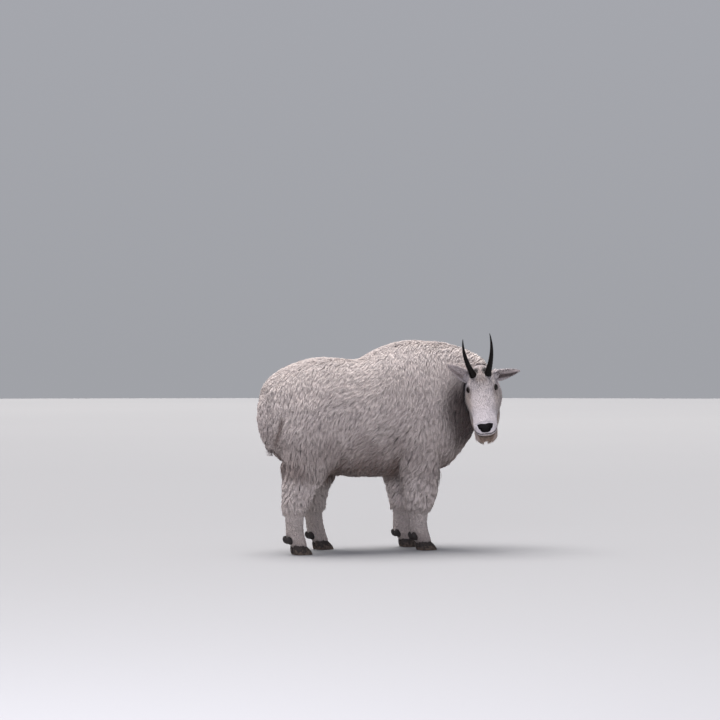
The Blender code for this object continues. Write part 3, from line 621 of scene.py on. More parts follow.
def lie(places, ups, head):
    """Which way the coat lies: back and down, parted along the spine, straight down a leg, and on the
    head from the nose to the crown and on along each ear."""
    x, y, z = places.T
    sweep = -0.12 - 0.53 * smooth_step(z, 0.34, 0.50)
    parted = 0.45 * np.maximum(ups[:, 2], 0) * np.clip(y / 0.09, -1, 1)
    flow = np.stack([sweep, parted, -np.ones(len(places))], 1)
    # The coat wanders a little, so that no two stretches lie alike
    stray = 0.30 * np.sin(9 * x + 5 * z + 2) + 0.22 * np.sin(23 * z - 13 * x + 7 * y)
    flow += np.cross(ups, flow) * stray[:, None]
    if head.any():
        place = in_head(places)
        cheek = smooth_step(-place[:, 2], 0.0, 0.05)[:, None]
        back = head_way(-1, 0, 0) * (1 - 0.55 * cheek) + np.array((0, 0, -1.0)) * 0.75 * cheek
        jaw = (smooth_step(place[:, 0], 0.05, 0.08) * smooth_step(-place[:, 2], 0.038, 0.050))[:, None]
        back = back * (1 - jaw) + np.array((0, 0, -1.0)) * jaw
        for side in SIDES:
            ear = ear_share(places, side)[:, None] > 0
            back = np.where(ear, head_way(*EAR_RUNS[side]), back)
        flow = np.where(head[:, None], back, flow)
    flow -= ups * dot(flow, ups)[:, None]
    return unit(flow)


def linear(code):
    """An sRGB hex value as linear red, green and blue."""
    parts = [int(code[i : i + 2], 16) / 255 for i in (1, 3, 5)]
    return [p / 12.92 if p <= 0.04045 else ((p + 0.055) / 1.055) ** 2.4 for p in parts]


# Colours of the clean and the soiled coat, and of the painted shade on it
CREAM, WARM_CREAM, PALE_FACE, SHADED_FLANK = "#f1e5df", "#f4e9e4", "#efe8ed", "#dccfcc"
TAN, DUST, EARTH_AND_SHADE, DEEP_SHADE = "#bda28c", "#b3a194", "#7d6860", "#38221d"
LID_BLACK, EAR_GREY, GLAND, BROW_BROWN = "#1c1516", "#d9cccb", "#1d1413", "#66544c"

# Folds of the coat on each flank, from one end to the other in x and z, how wide and how deep, deep ones
# also
# painted darker as shade: behind the elbow, before the thigh and beside the tail
FOLDS = [
    (Vector((0.128, 0.47)), Vector((0.150, 0.35)), 0.020, 0.80),
    (Vector((-0.085, 0.385)), Vector((-0.165, 0.375)), 0.026, 0.65),
    (Vector((-0.428, 0.640)), Vector((-0.450, 0.470)), 0.013, 0.85),
    (Vector((0.330, 0.420)), Vector((0.300, 0.340)), 0.018, 0.35),
]


def fold_share(places):
    """How deep in a fold of the coat each place is, from 0 to 1."""
    share = np.zeros(len(places))
    for start, end, width, depth in FOLDS:
        line = np.array(end - start)
        apart = places[:, (0, 2)] - np.array(start)
        t = np.clip(apart @ line / (line @ line), 0, 1)
        away = np.linalg.norm(apart - t[:, None] * line, axis=1)
        share = np.maximum(share, depth * np.exp(-((away / width) ** 2)))
    return share * smooth_step(np.abs(places[:, 1]), 0.03, 0.07)


def markings_and_shade(places, ups, head):
    """The colour of coat and skin at each place, painted shade included, worked out from where it is on the
    goat.
    """
    colour = np.tile(linear(CREAM), (len(places), 1))

    def lay(code, share):
        nonlocal colour
        colour += (np.array(linear(code)) - colour) * np.clip(share, 0, 1)[:, None]

    x, y, z = places.T
    mottle = 0.5 + 0.25 * np.sin(31 * x + 17 * z) + 0.25 * np.sin(43 * z - 29 * y + 1.3 * np.sin(37 * x))
    body = ~head
    lay(WARM_CREAM, body * smooth_step(ups[:, 2], 0.1, 0.9) * smooth_step(z, 0.72, 0.90) * 0.85)
    # Painted shade: the sides, facing away from the light overhead, are greyer and darker than the top
    lay(SHADED_FLANK, body * smooth_step(0.9 - ups[:, 2], 0.2, 0.9) * (0.35 + 0.3 * mottle))
    # The lower flank and the brisket are soiled and painted in shade, and the belly's underside most
    low = smooth_step(-z, -0.68, -0.42) * smooth_step(z, 0.34, 0.40) * (1 - 0.6 * smooth_step(x, 0.12, 0.22))
    lay(EARTH_AND_SHADE, body * low * (0.30 + 0.40 * mottle))
    belly = smooth_step(-ups[:, 2], 0.15, 0.75) * smooth_step(z, 0.32, 0.36) * smooth_step(x, -0.45, -0.38)
    lay(EARTH_AND_SHADE, body * belly * 0.75)
    # Painted shade in the folds of the coat
    lay(EARTH_AND_SHADE, body * fold_share(places) * 0.9)
    lay(DUST, body * smooth_step(-z, -0.30, -0.20) * 0.25 * mottle)
    lay(EARTH_AND_SHADE, body * smooth_step(-z, -0.080, -0.035) * 0.45)
    # Painted shade on the neck, dark brown, behind and under the turned head
    for centre, near, far, share in NECK_SHADE:
        apart = np.linalg.norm((places - np.array(centre)) * (1.0, 1.0, 0.72), axis=1)
        lay(DEEP_SHADE, body * smooth_step(-apart, -far, -near) * share * (0.85 + 0.15 * mottle))
    hx, hy, hz = in_head(places).T
    lay(PALE_FACE, head * 0.9)
    side_face = smooth_step(np.abs(hy), 0.040, 0.066) * smooth_step(hx, -0.03, 0.03)
    side_face *= smooth_step(-hx, -0.15, -0.10)
    lay(DUST, head * side_face * (0.35 + 0.35 * mottle))
    fleck = 0.5 + 0.5 * np.sin(410 * hx + 2 * np.sin(330 * hy)) * np.sin(370 * hy + 2 * np.sin(290 * hx))
    lay(DUST, head * smooth_step(-hx, -0.15, -0.09) * (0.10 + 0.22 * fleck))
    brow = np.exp(-(((hx + 0.012) / 0.034) ** 2) - (hy / 0.042) ** 2) * smooth_step(hz, 0.0, 0.03)
    lay(BROW_BROWN, head * brow * (0.45 + 0.50 * fleck))
    lay(EARTH_AND_SHADE, head * np.exp(-(((hx + 0.060) / 0.030) ** 2) - (hy / 0.045) ** 2) * (0.40 + 0.5 * fleck))
    lay(TAN, head * smooth_step(hx, 0.06, 0.13) * smooth_step(-hz, 0.034, 0.052) * 0.9)
    for side, sign in SIDES.items():
        eye = np.linalg.norm(np.stack([hx, hy, hz], 1) - np.array(across(EYE_AT, sign)), axis=1)
        lay(LID_BLACK, head * smooth_step(-eye, -0.0198, -0.0172) * 0.9)
        tear = np.exp(-(((hx - 0.034) / 0.018) ** 2) - ((hy * sign - 0.056) / 0.010) ** 2)
        lay(EARTH_AND_SHADE, head * tear * 0.6)
        foot = np.linalg.norm(np.stack([hx, hy, hz], 1) - np.array(across(HORN_AT, sign)), axis=1)
        lay(GLAND, head * smooth_step(-foot, -0.030, -0.023) * 0.9)
        ear = ear_share(places, side)
        _, _, opens, over = (head_way(*way) for way in ear_rings(side))
        inside = head * (ear > 0) * smooth_step(ups @ opens, 0.20, 0.65)
        lay(EAR_GREY, inside * 0.85)
        # The lower half of the cup is dark skin with little hair
        lower = smooth_step(ups @ over * np.sign(over[2]), 0.0, 0.5)
        # The left ear's cup, which faces away from the light, is painted darker still as shade
        lay(EARTH_AND_SHADE if side == "right" else DEEP_SHADE, inside * lower * (0.45 if side == "right" else 0.85))
        lay(DUST, head * smooth_step(ear, 0.90, 1.0) * 0.5)
    lips = smooth_step(hx, 0.128, 0.150) * np.exp(-(((hz - MOUTH_LEVEL) / 0.0048) ** 4))
    lay(LID_BLACK, head * lips * 0.95)
    return colour


def tell(mesh, name, kind, values):
    """Writes one value a vertex, for the materials to read."""
    field = {"FLOAT": "value", "FLOAT_COLOR": "color", "FLOAT_VECTOR": "vector"}[kind]
    if kind == "FLOAT_COLOR":
        values = np.concatenate([values, np.ones((len(values), 1))], 1)
    made = mesh.attributes.new(name, kind, "POINT")
    made.data.foreach_set(field, np.asarray(values, dtype=np.float32).ravel())


# Painted shade on the neck under the turned head: where, how far it is whole, how far it reaches, and how
# dark
NECK_SHADE = [
    (Vector((0.455, -0.155, 0.680)), 0.060, 0.165, 0.90),
    (Vector((0.490, -0.115, 0.600)), 0.035, 0.125, 0.75),
]


# A kind of hair: how far along it its rings lie, and how high and wide each is as a share of the tuft.
# gather is how many share a clump and how far their tips are drawn together, and wave is how far and how
# often a clump's hair swings aside.
Hair = namedtuple("Hair", "steps rise width gather wave")
LONG_SHAPE = (0.0, 0.34, 0.68, 1.0), (-0.06, 0.72, 1.0, 0.92), (0.85, 1.0, 0.62, 0.0)
SHORT_SHAPE = (0.0, 0.5, 1.0), (-0.15, 0.80, 1.0), (0.85, 1.0, 0.0)
WOOL_HAIR = Hair(*LONG_SHAPE, (10, 0.08), (0.0015, 0.050))
BEARD_HAIR = Hair(*LONG_SHAPE, (14, 0.22), (0.003, 0.05))
LEG_HAIR = Hair(*SHORT_SHAPE, (7, 0.30), (0.0008, 0.030))
FACE_HAIR = Hair(*SHORT_SHAPE, (8, 0.30), (0.0006, 0.03))
EAR_HAIR = Hair(*SHORT_SHAPE, (6, 0.25), (0.0006, 0.03))


def paths(roots, ups, lengths, steps, cling, head):
    """Each hair's way over the skin: at every step it moves along the lie and keeps to the skin as far
    as cling says."""
    places, normals, flows = [roots], [ups], []
    for near, far in zip(steps, steps[1:]):
        flow = lie(places[-1], normals[-1], head)
        # Hair that hangs free turns towards the ground
        flow = unit(flow + np.array((0, 0, -0.5)) * (1 - cling)[:, None])
        flows.append(flow)
        ahead = places[-1] + flow * (lengths * (far - near))[:, None]
        found = [SKIN_TREE.find_nearest(place)[:2] for place in ahead.tolist()]
        nearest, slope = np.array([tuple(f[0]) for f in found]), np.array([tuple(f[1]) for f in found])
        share = cling[:, None]
        places.append(ahead + (nearest - ahead) * share)
        normals.append(unit(normals[-1] + (slope - normals[-1]) * 0.6 * share))
    flows.append(flows[-1])
    return places, normals, flows


Tufts = namedtuple("Tufts", "centres sides ups width hair roots unwrap colour tone")


def grow(rooted, lengths, heights, widths, hair, cling, on_face, dice):
    """Tufts from their roots to their tips. cling is how closely they keep to the skin."""
    roots, ups, unwrap_at = rooted
    count = len(roots)
    head, gather, wave = np.full(count, on_face), hair.gather, hair.wave
    places, normals, flows = paths(roots, ups, lengths, hair.steps, np.broadcast_to(cling, count), head)
    leaders = dice.choice(count, max(1, count // gather[0]), replace=False)
    tree = KDTree(len(leaders))
    for index, leader in enumerate(leaders):
        tree.insert(roots[leader], index)
    tree.balance()
    found = [tree.find(root)[1:] for root in roots.tolist()]
    mine = leaders[[index for index, _ in found]]
    from_leader = np.array([apart for _, apart in found])
    # A clump is lower towards its edge, where the gaps are
    heights = heights * (1 - 0.5 * gather[1] * np.clip(from_leader / (from_leader.mean() * 2), 0, 1))
    phase = dice.uniform(0, 2 * math.pi, count)[mine] + dice.normal(0, 0.35, count)
    roll = dice.normal(0, 0.45, count)
    centres, sides, tops = [], [], []
    for t, rise, place, normal, flow in zip(hair.steps, hair.rise, places, normals, flows):
        centre = place + normal * (heights * rise)[:, None]
        # Clumps tip together, and leave dark gaps between them
        centre = centre + (centre[mine] - centre) * np.broadcast_to(gather[1] * t**1.2, count)[:, None]
        side = unit(np.cross(normal, flow))
        swing = wave[0] * np.sin(phase + 2 * math.pi * t * lengths / wave[1]) * t**0.6
        centres.append(centre + side * swing[:, None])
        sides.append(side * np.cos(roll)[:, None] + normal * np.sin(roll)[:, None])
        tops.append(normal * np.cos(roll)[:, None] - side * np.sin(roll)[:, None])
    tone = 0.5 * dice.normal(0, 1, count)[mine] + 0.6 * dice.normal(0, 1, count)
    colour = markings_and_shade(roots, ups, head)
    return Tufts(centres, sides, tops, widths, hair, roots, unwrap_at, colour, tone)


def some_of(tufts, chosen):
    """The chosen tufts only."""
    rings = {name: [ring[chosen] for ring in getattr(tufts, name)] for name in ("centres", "sides", "ups")}
    single = {name: getattr(tufts, name)[chosen] for name in ("width", "roots", "unwrap", "colour", "tone")}
    return tufts._replace(**rings, **single)


# A tuft's patch on the unwrap is this wide
PATCH = 0.003
# How thick a tuft is as a share of its width
THICKNESS = 0.34


def tuft_arrays(tufts):
    """Corners, triangles, unwrap and notes of closed tufts with three edges and a tip."""
    count, rings = len(tufts.roots), len(tufts.hair.steps) - 1
    corners, along, patch = [], [], []
    for i in range(rings):
        half = (tufts.width * tufts.hair.width[i] * 0.5)[:, None]
        ridge = tufts.ups[i] * half * 2 * THICKNESS
        centre, side = tufts.centres[i], tufts.sides[i] * half
        corners += [centre + side - ridge * 0.4, centre + ridge * 0.6, centre - side - ridge * 0.4]
        along += [tufts.hair.steps[i]] * 3
        patch += [(0.0, i / rings), (0.5, i / rings), (1.0, i / rings)]
    corners.append(tufts.centres[rings])
    along.append(1.0)
    patch.append((0.5, 1.0))
    faces = [(2, 1, 0)]
    for i in range(rings - 1):
        for k in range(3):
            a, b = 3 * i + k, 3 * i + (k + 1) % 3
            faces += [(a, b, b + 3), (a, b + 3, a + 3)]
    last = 3 * (rings - 1)
    faces += [(last + k, last + (k + 1) % 3, last + 3) for k in range(3)]
    size = len(corners)
    points = np.stack(corners, 1).reshape(-1, 3)
    triangles = (np.array(faces)[None] + np.arange(count)[:, None, None] * size).reshape(-1, 3)
    offsets = (np.array(patch) - 0.5) * PATCH
    flat = (tufts.unwrap[:, None] + offsets[None]).reshape(-1, 2)[triangles.ravel()]
    return (
        points,
        triangles,
        np.clip(flat, 0, 1),
        np.tile(along, count),
        np.repeat(tufts.tone, size),
        np.repeat(tufts.colour, size, axis=0),
    )


def coat_piece(name, groups):
    """One mesh of all those tufts."""
    parts, start = [], 0
    for tufts in groups:
        points, triangles, *rest = tuft_arrays(tufts)
        parts.append((points, triangles + start, *rest))
        start += len(points)
    points, triangles, flat, along, tone, colour = (np.concatenate(column) for column in zip(*parts))
    mesh = bpy.data.meshes.new(name)
    mesh.vertices.add(len(points))
    mesh.vertices.foreach_set("co", points.ravel())
    mesh.loops.add(triangles.size)
    mesh.loops.foreach_set("vertex_index", triangles.ravel())
    mesh.polygons.add(len(triangles))
    mesh.polygons.foreach_set("loop_start", np.arange(0, triangles.size, 3))
    mesh.update(calc_edges=True)
    mesh.uv_layers.new(name="OFBake").data.foreach_set("uv", flat.ravel())
    tell(mesh, "along", "FLOAT", along)
    tell(mesh, "tone", "FLOAT", tone)
    tell(mesh, "marking_and_shade", "FLOAT_COLOR", colour)
    made = bpy.data.objects.new(name, mesh)
    bpy.context.scene.collection.objects.link(made)
    return made


def coat_depth(roots, ups):
    """How deep the coat is over the skin at each root."""
    found = []
    for root, up in zip(roots.tolist(), ups.tolist()):
        hit = OUTLINE_TREE.ray_cast(Vector(root) - Vector(up) * 0.001, up, 0.12)
        found.append(hit[3] if hit[3] is not None else 0.02)
    return np.clip(np.array(found) - 0.001, 0.003, 0.045)


def clear_of_bare_places(roots):
    """False at the eyes, the horns, the nose pad and the lips, where no hair grows."""
    place = in_head(roots)
    clear = np.ones(len(roots), dtype=bool)
    for sign in SIDES.values():
        clear &= np.linalg.norm(place - np.array(across(EYE_AT, sign)), axis=1) > 0.0190
        # Hair that starts here would lie over the eye
        tips = place - np.array((0.011, 0.0, 0.0))
        clear &= np.linalg.norm(tips - np.array(across(EYE_AT, sign)), axis=1) > 0.0178
        clear &= np.linalg.norm(place - np.array(across(HORN_AT, sign)), axis=1) > 0.0205
    hx, hy, hz = place.T
    clear &= ~((hx > 0.184) & (np.abs(hy) < 0.040) & (hz > -0.026))
    return clear & ~((hx > 0.135) & (np.abs(hz - MOUTH_LEVEL) < 0.004))


def horn(side):
    """A slender black horn that leans out and curves back, with worn growth rings on its lower half."""
    sign, spans, sides = SIDES[side], 96, 36
    place, centres, radii = across(HORN_AT, sign), [], []
    for i in range(spans + 1):
        t = i / spans
        radius = 0.0150 * (1 - t) ** 0.75 + 0.0035 * math.exp(-t / 0.06) + 0.0009
        # Growth rings, each a little uneven, fade out half way up
        ring = max(0.0, math.sin(2 * math.pi * (t * 17 + 0.3 * math.sin(9 * t)))) ** 2
        radius *= 1 + 0.085 * (ring - 0.4) * smooth_step(-t, -0.56, -0.34) * smooth_step(t, 0.03, 0.08)
        centres.append(place.copy())
        radii.append(radius)
        lean = math.radians(18 - 27 * t**1.8) * sign
        back = math.radians(-20 - 36 * t**1.6)
        step = Vector((math.sin(back) * math.cos(lean), math.sin(lean), math.cos(back) * math.cos(lean)))
        place += step * HORN_LENGTH[side] / spans
    work = bmesh.new()
    loops, grain = [], []
    for i, (centre, radius) in enumerate(zip(centres, radii)):
        along = (centres[min(i + 1, spans)] - centres[max(i - 1, 0)]).normalized()
        out = LEFT.cross(along).normalized()
        over = along.cross(out)
        loop = []
        for k in range(sides):
            angle = 2 * math.pi * k / sides
            turned = out * math.cos(angle) * 1.05 + over * math.sin(angle) * 0.95
            loop.append(work.verts.new(centre + turned * radius))
            grain.append((math.cos(angle) * radius, math.sin(angle) * radius, i / spans * 0.02))
        loops.append(loop)
    skin_between(work, loops)
    made = object_from(work, f"horn_{side}_keratin")
    tell(made.data, "grain", "FLOAT_VECTOR", grain)
    return made


def eyeball(side):
    """A wet eye with a raised cornea. Its notes say where each point is, seen along the line of sight."""
    sign = SIDES[side]
    looks, long_way, high_way = sight(sign)
    made = ball(f"eye_{side}_wet", Vector((0, 0, 0)), EYE_RADIUS, 64, 48)
    seen = []
    for vertex in made.data.vertices:
        way = vertex.co.normalized()
        # The cornea stands 1 mm out of the ball
        facing = way.dot(looks)
        vertex.co += way * 0.0010 * float(smooth_step(facing, 0.74, 0.97))
        seen.append((way.dot(long_way), way.dot(high_way), facing))
    made.data.transform(Matrix.Translation(across(EYE_AT, sign)))
    tell(made.data, "seen", "FLOAT_VECTOR", seen)
    return made


def hoof(name, foot, outward):
    """One toe of a cloven foot, with a worn sole edge, a sloping front and a flatter inner wall."""
    sides, spans = 40, 8
    splay = Matrix.Rotation(math.radians(4 * outward), 4, "Z")
    rings = [Ring(0, 0, height, width, front, back, 0) for height, front, back, width in HOOF]
    rings = smooth_between(rings, spans)
    # The edge of the sole is worn round
    sole = rings[0]
    rings[0] = sole._replace(width=sole.width - 0.0024, rise=sole.rise - 0.003, drop=sole.drop - 0.003)
    work = bmesh.new()
    loops = []
    for ring in rings:
        loop = []
        for k in range(sides):
            angle = 2 * math.pi * k / sides
            c, s = math.cos(angle), math.sin(angle)
            reach = ring.rise if c > 0 else ring.drop
            narrow = 1 - 0.42 * max(c, 0) ** 2
            inner = 0.80 if s * outward < 0 else 1.0
            # Growth lines run round the wall
            line = 1 + 0.012 * math.sin(ring.z * 2100 + 0.8 * c)
            place = splay @ Vector((c * reach * line, s * ring.width * narrow * inner * line, 0))
            place += Vector((-0.20 * ring.z, 0.0205 * outward, ring.z))
            loop.append(work.verts.new(foot + place))
        loops.append(loop)
    skin_between(work, loops)
    return object_from(work, name)


def dewclaw(name, foot, outward):
    """A small blunt claw behind the fetlock, worn to a point below."""
    made = ball(name, Vector((0, 0, 0)), 1.0, 28, 20)
    for vertex in made.data.vertices:
        low = max(-vertex.co.z, 0.0)
        vertex.co.x *= 1 - 0.35 * low**2
        vertex.co.y *= (1 - 0.30 * low**2) * (1 + 0.03 * math.sin(9 * vertex.co.z))
    tilt = Matrix.Rotation(math.radians(-35), 4, "Y")
    place = Matrix.Translation(foot + Vector((-0.060, 0.020 * outward, 0.066)))
    made.data.transform(place @ tilt @ Matrix.Diagonal((0.015, 0.0108, 0.021, 1)))
    return made


def feed(tree, made, inputs):
    """Puts a value or a link into each of those sockets."""
    for socket, value in inputs.items():
        if isinstance(value, bpy.types.NodeSocket):
            tree.links.new(value, made.inputs[socket])
        else:
            made.inputs[socket].default_value = value


def node(tree, kind, inputs=(), **settings):
    """Adds a shader node with its settings. inputs gives what goes into a socket: a value or a link."""
    made = tree.nodes.new(kind)
    for setting, value in settings.items():
        setattr(made, setting, value)
    feed(tree, made, dict(inputs))
    return made


def new_finish(name):
    """An empty material, its nodes and its Principled shader."""
    finish = bpy.data.materials.new(name)
    finish.use_nodes = True
    tree = finish.node_tree
    tree.nodes.clear()
    shader = tree.nodes.new("ShaderNodeBsdfPrincipled")
    node(tree, "ShaderNodeOutputMaterial", {"Surface": shader.outputs[0]})
    return finish, tree, shader


def colours(tree, factor, *stops):
    """A ramp through hex colours at the given places."""
    ramp = node(tree, "ShaderNodeValToRGB", {"Fac": factor})
    elements = ramp.color_ramp.elements
    for index, (place, code) in enumerate(stops):
        element = elements[index] if index < 2 else elements.new(place)
        element.position = place
        element.color = (*linear(code), 1)
    return ramp.outputs["Color"]


def read(tree, name, output):
    return node(tree, "ShaderNodeAttribute", attribute_name=name).outputs[output]


def noise(tree, scale, detail, **inputs):
    return node(tree, "ShaderNodeTexNoise", {"Scale": scale, "Detail": detail, **inputs}).outputs["Fac"]


def ranged(tree, value, low, high, start=0.0, end=1.0):
    """From low to high while the value goes from start to end."""
    inputs = {"Value": value, "From Min": start, "From Max": end, "To Min": low, "To Max": high}
    return node(tree, "ShaderNodeMapRange", inputs).outputs[0]


def numbers(tree, operation, *values):
    return node(tree, "ShaderNodeMath", dict(enumerate(values)), operation=operation).outputs[0]


def vectors(tree, operation, *values, output=0, **inputs):
    inputs = {**dict(enumerate(values)), **inputs}
    return node(tree, "ShaderNodeVectorMath", inputs, operation=operation).outputs[output]


def bump(tree, height, strength, distance, **settings):
    inputs = {"Strength": strength, "Distance": distance, "Height": height}
    return node(tree, "ShaderNodeBump", inputs, **settings).outputs[0]


# Winter wool of guard hairs over dense down: keratin, so IOR 1.55, matt and without a highlight of its
# own, but with a soft sheen where the light grazes it. The hair is darker at its roots, where the coat
# shades itself, and each lock has its own tone.
def wool():
    finish, tree, shader = new_finish("goat_winter_wool")
    shade = ranged(tree, read(tree, "along", "Fac"), 0.62, 1.02)
    own = numbers(tree, "MULTIPLY_ADD", read(tree, "tone", "Fac"), 0.065, shade)
    # Strands 0.8 mm wide, drawn at 3 mm so that they show
    strands = noise(tree, 340.0, 3.0)
    inputs = {
        "Base Color": vectors(tree, "SCALE", read(tree, "marking_and_shade", "Color"), Scale=own),
        "Roughness": ranged(tree, strands, 0.62, 0.86),
        "Normal": bump(tree, strands, 0.35, 0.0015),
        "IOR": 1.55,
        "Specular IOR Level": 0.25,
        "Sheen Weight": 0.22,
        "Sheen Roughness": 0.55,
    }
    feed(tree, shader, inputs)
    return finish


# Skin under short flat hair: matt, IOR 1.4, with the hairs as fine bump along it
def haired_skin():
    finish, tree, shader = new_finish("goat_short_hair_on_skin")
    # Hairs 0.1 mm thick lie in strokes about 1.5 mm apart
    strokes = noise(tree, 700.0, 4.0, Roughness=0.6)
    shade = ranged(tree, strokes, 0.66, 1.12)
    inputs = {
        "Base Color": vectors(tree, "SCALE", read(tree, "marking_and_shade", "Color"), Scale=shade),
        "Roughness": ranged(tree, strokes, 0.55, 0.8),
        "Normal": bump(tree, strokes, 0.6, 0.001),
        "IOR": 1.4,
        "Sheen Weight": 0.12,
    }
    feed(tree, shader, inputs)
    return finish


# Horn keratin, grown in layers and polished by rubbing: near black, with a satin shine that breaks into
# fine streaks along the horn, and duller and browner between the growth rings at its foot
def horn_keratin():
    finish, tree, shader = new_finish("horn_black_keratin")
    # Streaks 1.2 mm apart
    streaks = noise(tree, 850.0, 4.0, Vector=read(tree, "grain", "Vector"))
    mixed = numbers(tree, "MULTIPLY", streaks, noise(tree, 60.0, 2.0))
    inputs = {
        "Base Color": colours(tree, mixed, (0.12, "#0b0909"), (0.32, "#151110"), (0.50, "#2a221f")),
        "Roughness": ranged(tree, mixed, 0.28, 0.58, end=0.5),
        "Normal": bump(tree, streaks, 0.5, 0.0006),
        "IOR": 1.55,
        "Specular IOR Level": 0.12,
    }
    feed(tree, shader, inputs)
    return finish


# Hoof keratin: dark grey brown, dull, scuffed pale and dusty towards the sole
def hoof_keratin():
    finish, tree, shader = new_finish("hoof_worn_keratin")
    place = node(tree, "ShaderNodeTexCoord").outputs["Object"]
    upright = vectors(tree, "MULTIPLY", place, (1.0, 1.0, 0.12))
    # Horn tubules show as upright streaks 1.5 mm apart
    streaks = noise(tree, 650.0, 4.0, Vector=upright)
    scuffs = noise(tree, 90.0, 5.0, Vector=place, Roughness=0.65)
    height = node(tree, "ShaderNodeSeparateXYZ", {0: place}).outputs["Z"]
    worn = numbers(tree, "ADD", scuffs, ranged(tree, height, 0.30, -0.05, end=0.05))
    both = numbers(tree, "MULTIPLY_ADD", streaks, 0.35, worn)
    inputs = {
        "Base Color": colours(tree, both, (0.45, "#1c1716"), (0.80, "#2f2724"), (1.05, "#6d5f54")),
        "Roughness": ranged(tree, both, 0.40, 0.85),
        "Normal": bump(tree, both, 0.5, 0.001),
        "IOR": 1.55,
    }
    feed(tree, shader, inputs)
    return finish


# Bare nose skin: black brown, pebbled and moist, so that small highlights sit on the pebbles
def nose_skin():
    finish, tree, shader = new_finish("nose_moist_skin")
    place = node(tree, "ShaderNodeTexCoord").outputs["Object"]
    # Pebbles 1.6 mm across
    pebbles = node(tree, "ShaderNodeTexVoronoi", {"Vector": place, "Scale": 620.0}, feature="SMOOTH_F1")
    tint = noise(tree, 120.0, 3.0, Vector=place)
    inputs = {
        "Base Color": colours(tree, tint, (0.3, "#0c0a0b"), (0.55, "#151113"), (0.75, "#241d1f")),
        "Roughness": ranged(tree, tint, 0.26, 0.5),
        "Normal": bump(tree, pebbles.outputs["Distance"], 0.7, 0.0008, invert=True),
        "IOR": 1.4,
        "Specular IOR Level": 0.18,
    }
    feed(tree, shader, inputs)
    return finish


# A wet eye: amber brown iris, fibrous, with a level oblong pupil and a dark rim, under a clear cornea
# whose polish gives one sharp glint. The cornea's IOR is 1.376.
def wet_eye():
    finish, tree, shader = new_finish("eye_wet_cornea")
    seen = read(tree, "seen", "Vector")
    flat = vectors(tree, "MULTIPLY", seen, (1.0, 1.0, 0.0))
    reach = vectors(tree, "LENGTH", flat, output="Value")
    # Iris fibres are about 0.3 mm wide, drawn at 0.8 mm
    ragged = numbers(tree, "MULTIPLY_ADD", noise(tree, 18.0, 5.0, Vector=flat), 0.16, reach)
    iris = colours(
        tree,
        ragged,
        (0.20, "#140d09"),
        (0.45, "#24160d"),
        (0.60, "#170f0a"),
        (0.70, "#0a0706"),
        (0.85, "#1a1413"),
    )
    slot = vectors(tree, "LENGTH", vectors(tree, "MULTIPLY", flat, (2.1, 4.6, 0.0)), output="Value")
    outside = ranged(tree, slot, 0.0, 1.0, 0.92, 1.0)
    depth = node(tree, "ShaderNodeSeparateXYZ", {0: seen}).outputs["Z"]
    clear = numbers(tree, "MULTIPLY", outside, numbers(tree, "GREATER_THAN", depth, 0.0))
    inputs = {
        "Base Color": vectors(tree, "SCALE", iris, Scale=clear),
        "Roughness": ranged(tree, reach, 0.04, 0.16, start=0.7),
        "IOR": 1.376,
        "Specular IOR Level": 0.3,
        "Coat Weight": 0.25,
        "Coat Roughness": 0.02,
    }
    feed(tree, shader, inputs)
    return finish


# A smooth studio floor of matt pale plaster
def studio_floor():
    finish, tree, shader = new_finish("studio_matt_plaster")
    plaster = colours(tree, noise(tree, 3.0, 4.0), (0.3, "#9c9da0"), (0.7, "#a4a5a7"))
    feed(tree, shader, {"Base Color": plaster, "Roughness": 0.9})
    return finish


def place_piece(piece, finish, slot, *nodes):
    """Moves the piece from the middle of the trunk to the frame's origin, gives it its finish and hides the
    nodes it stands for."""
    piece.data.transform(Matrix.Translation(-ORIGIN))
    piece.data.materials.clear()
    piece.data.materials.append(finish)
    piece.data.polygons.foreach_set("use_smooth", np.ones(len(piece.data.polygons), dtype=bool))
    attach(piece, "root")
    if nodes:
        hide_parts(*nodes)


def tree_of(thing):
    bpy.context.view_layer.update()
    return BVHTree.FromObject(thing, bpy.context.evaluated_depsgraph_get())


def body_coat(surface, dice):
    """The long wool of trunk, neck, tail and upper legs, and the short hair of the lower legs."""
    middle = surface.corners.mean(1)
    off_head = ~on_head(middle)
    long_here = off_head & (middle[:, 2] > CHAPS_END - 0.012)
    rooted = scatter(surface, long_here.astype(float), LONG_TUFTS, dice)
    roots = rooted[0]
    depth = coat_depth(*rooted[:2])
    count = len(roots)
    lengths = np.clip(2.0 * depth + 0.010, 0.016, 0.085) * dice.uniform(0.75, 1.15, count)
    # The back is brushed smooth by the wind, and the coat breaks up towards the belly
    ragged = smooth_step(-roots[:, 2], -0.88, -0.60)
    (crowd, drawn), (swing, turn) = WOOL_HAIR.gather, WOOL_HAIR.wave
    hair = WOOL_HAIR._replace(gather=(crowd, drawn + 0.50 * ragged), wave=(swing + 0.0025 * ragged, turn))
    heights = depth * (1 - 0.45 * fold_share(roots))
    heights *= 1 - (0.16 + 0.26 * ragged) * dice.random(count)
    widths = dice.uniform(0.0044, 0.0068, count) * np.clip(depth / 0.02, 0.6, 1.0)
    # The wool clings to the body and hangs free at the hem of the chaps
    cling = 0.30 + 0.60 * smooth_step(roots[:, 2], 0.22, 0.36)
    wool_tufts = grow(rooted, lengths, heights, widths, hair, cling, False, dice)
    short_here = off_head & (middle[:, 2] < CHAPS_END + 0.010) & (middle[:, 2] > 0.040)
    rooted = scatter(surface, short_here.astype(float), LEG_TUFTS, dice)
    count = len(rooted[0])
    lengths = dice.uniform(0.014, 0.024, count)
    heights = lengths * dice.uniform(0.10, 0.22, count)
    widths = dice.uniform(0.0028, 0.0042, count)
    return wool_tufts, grow(rooted, lengths, heights, widths, LEG_HAIR, 0.9, False, dice)


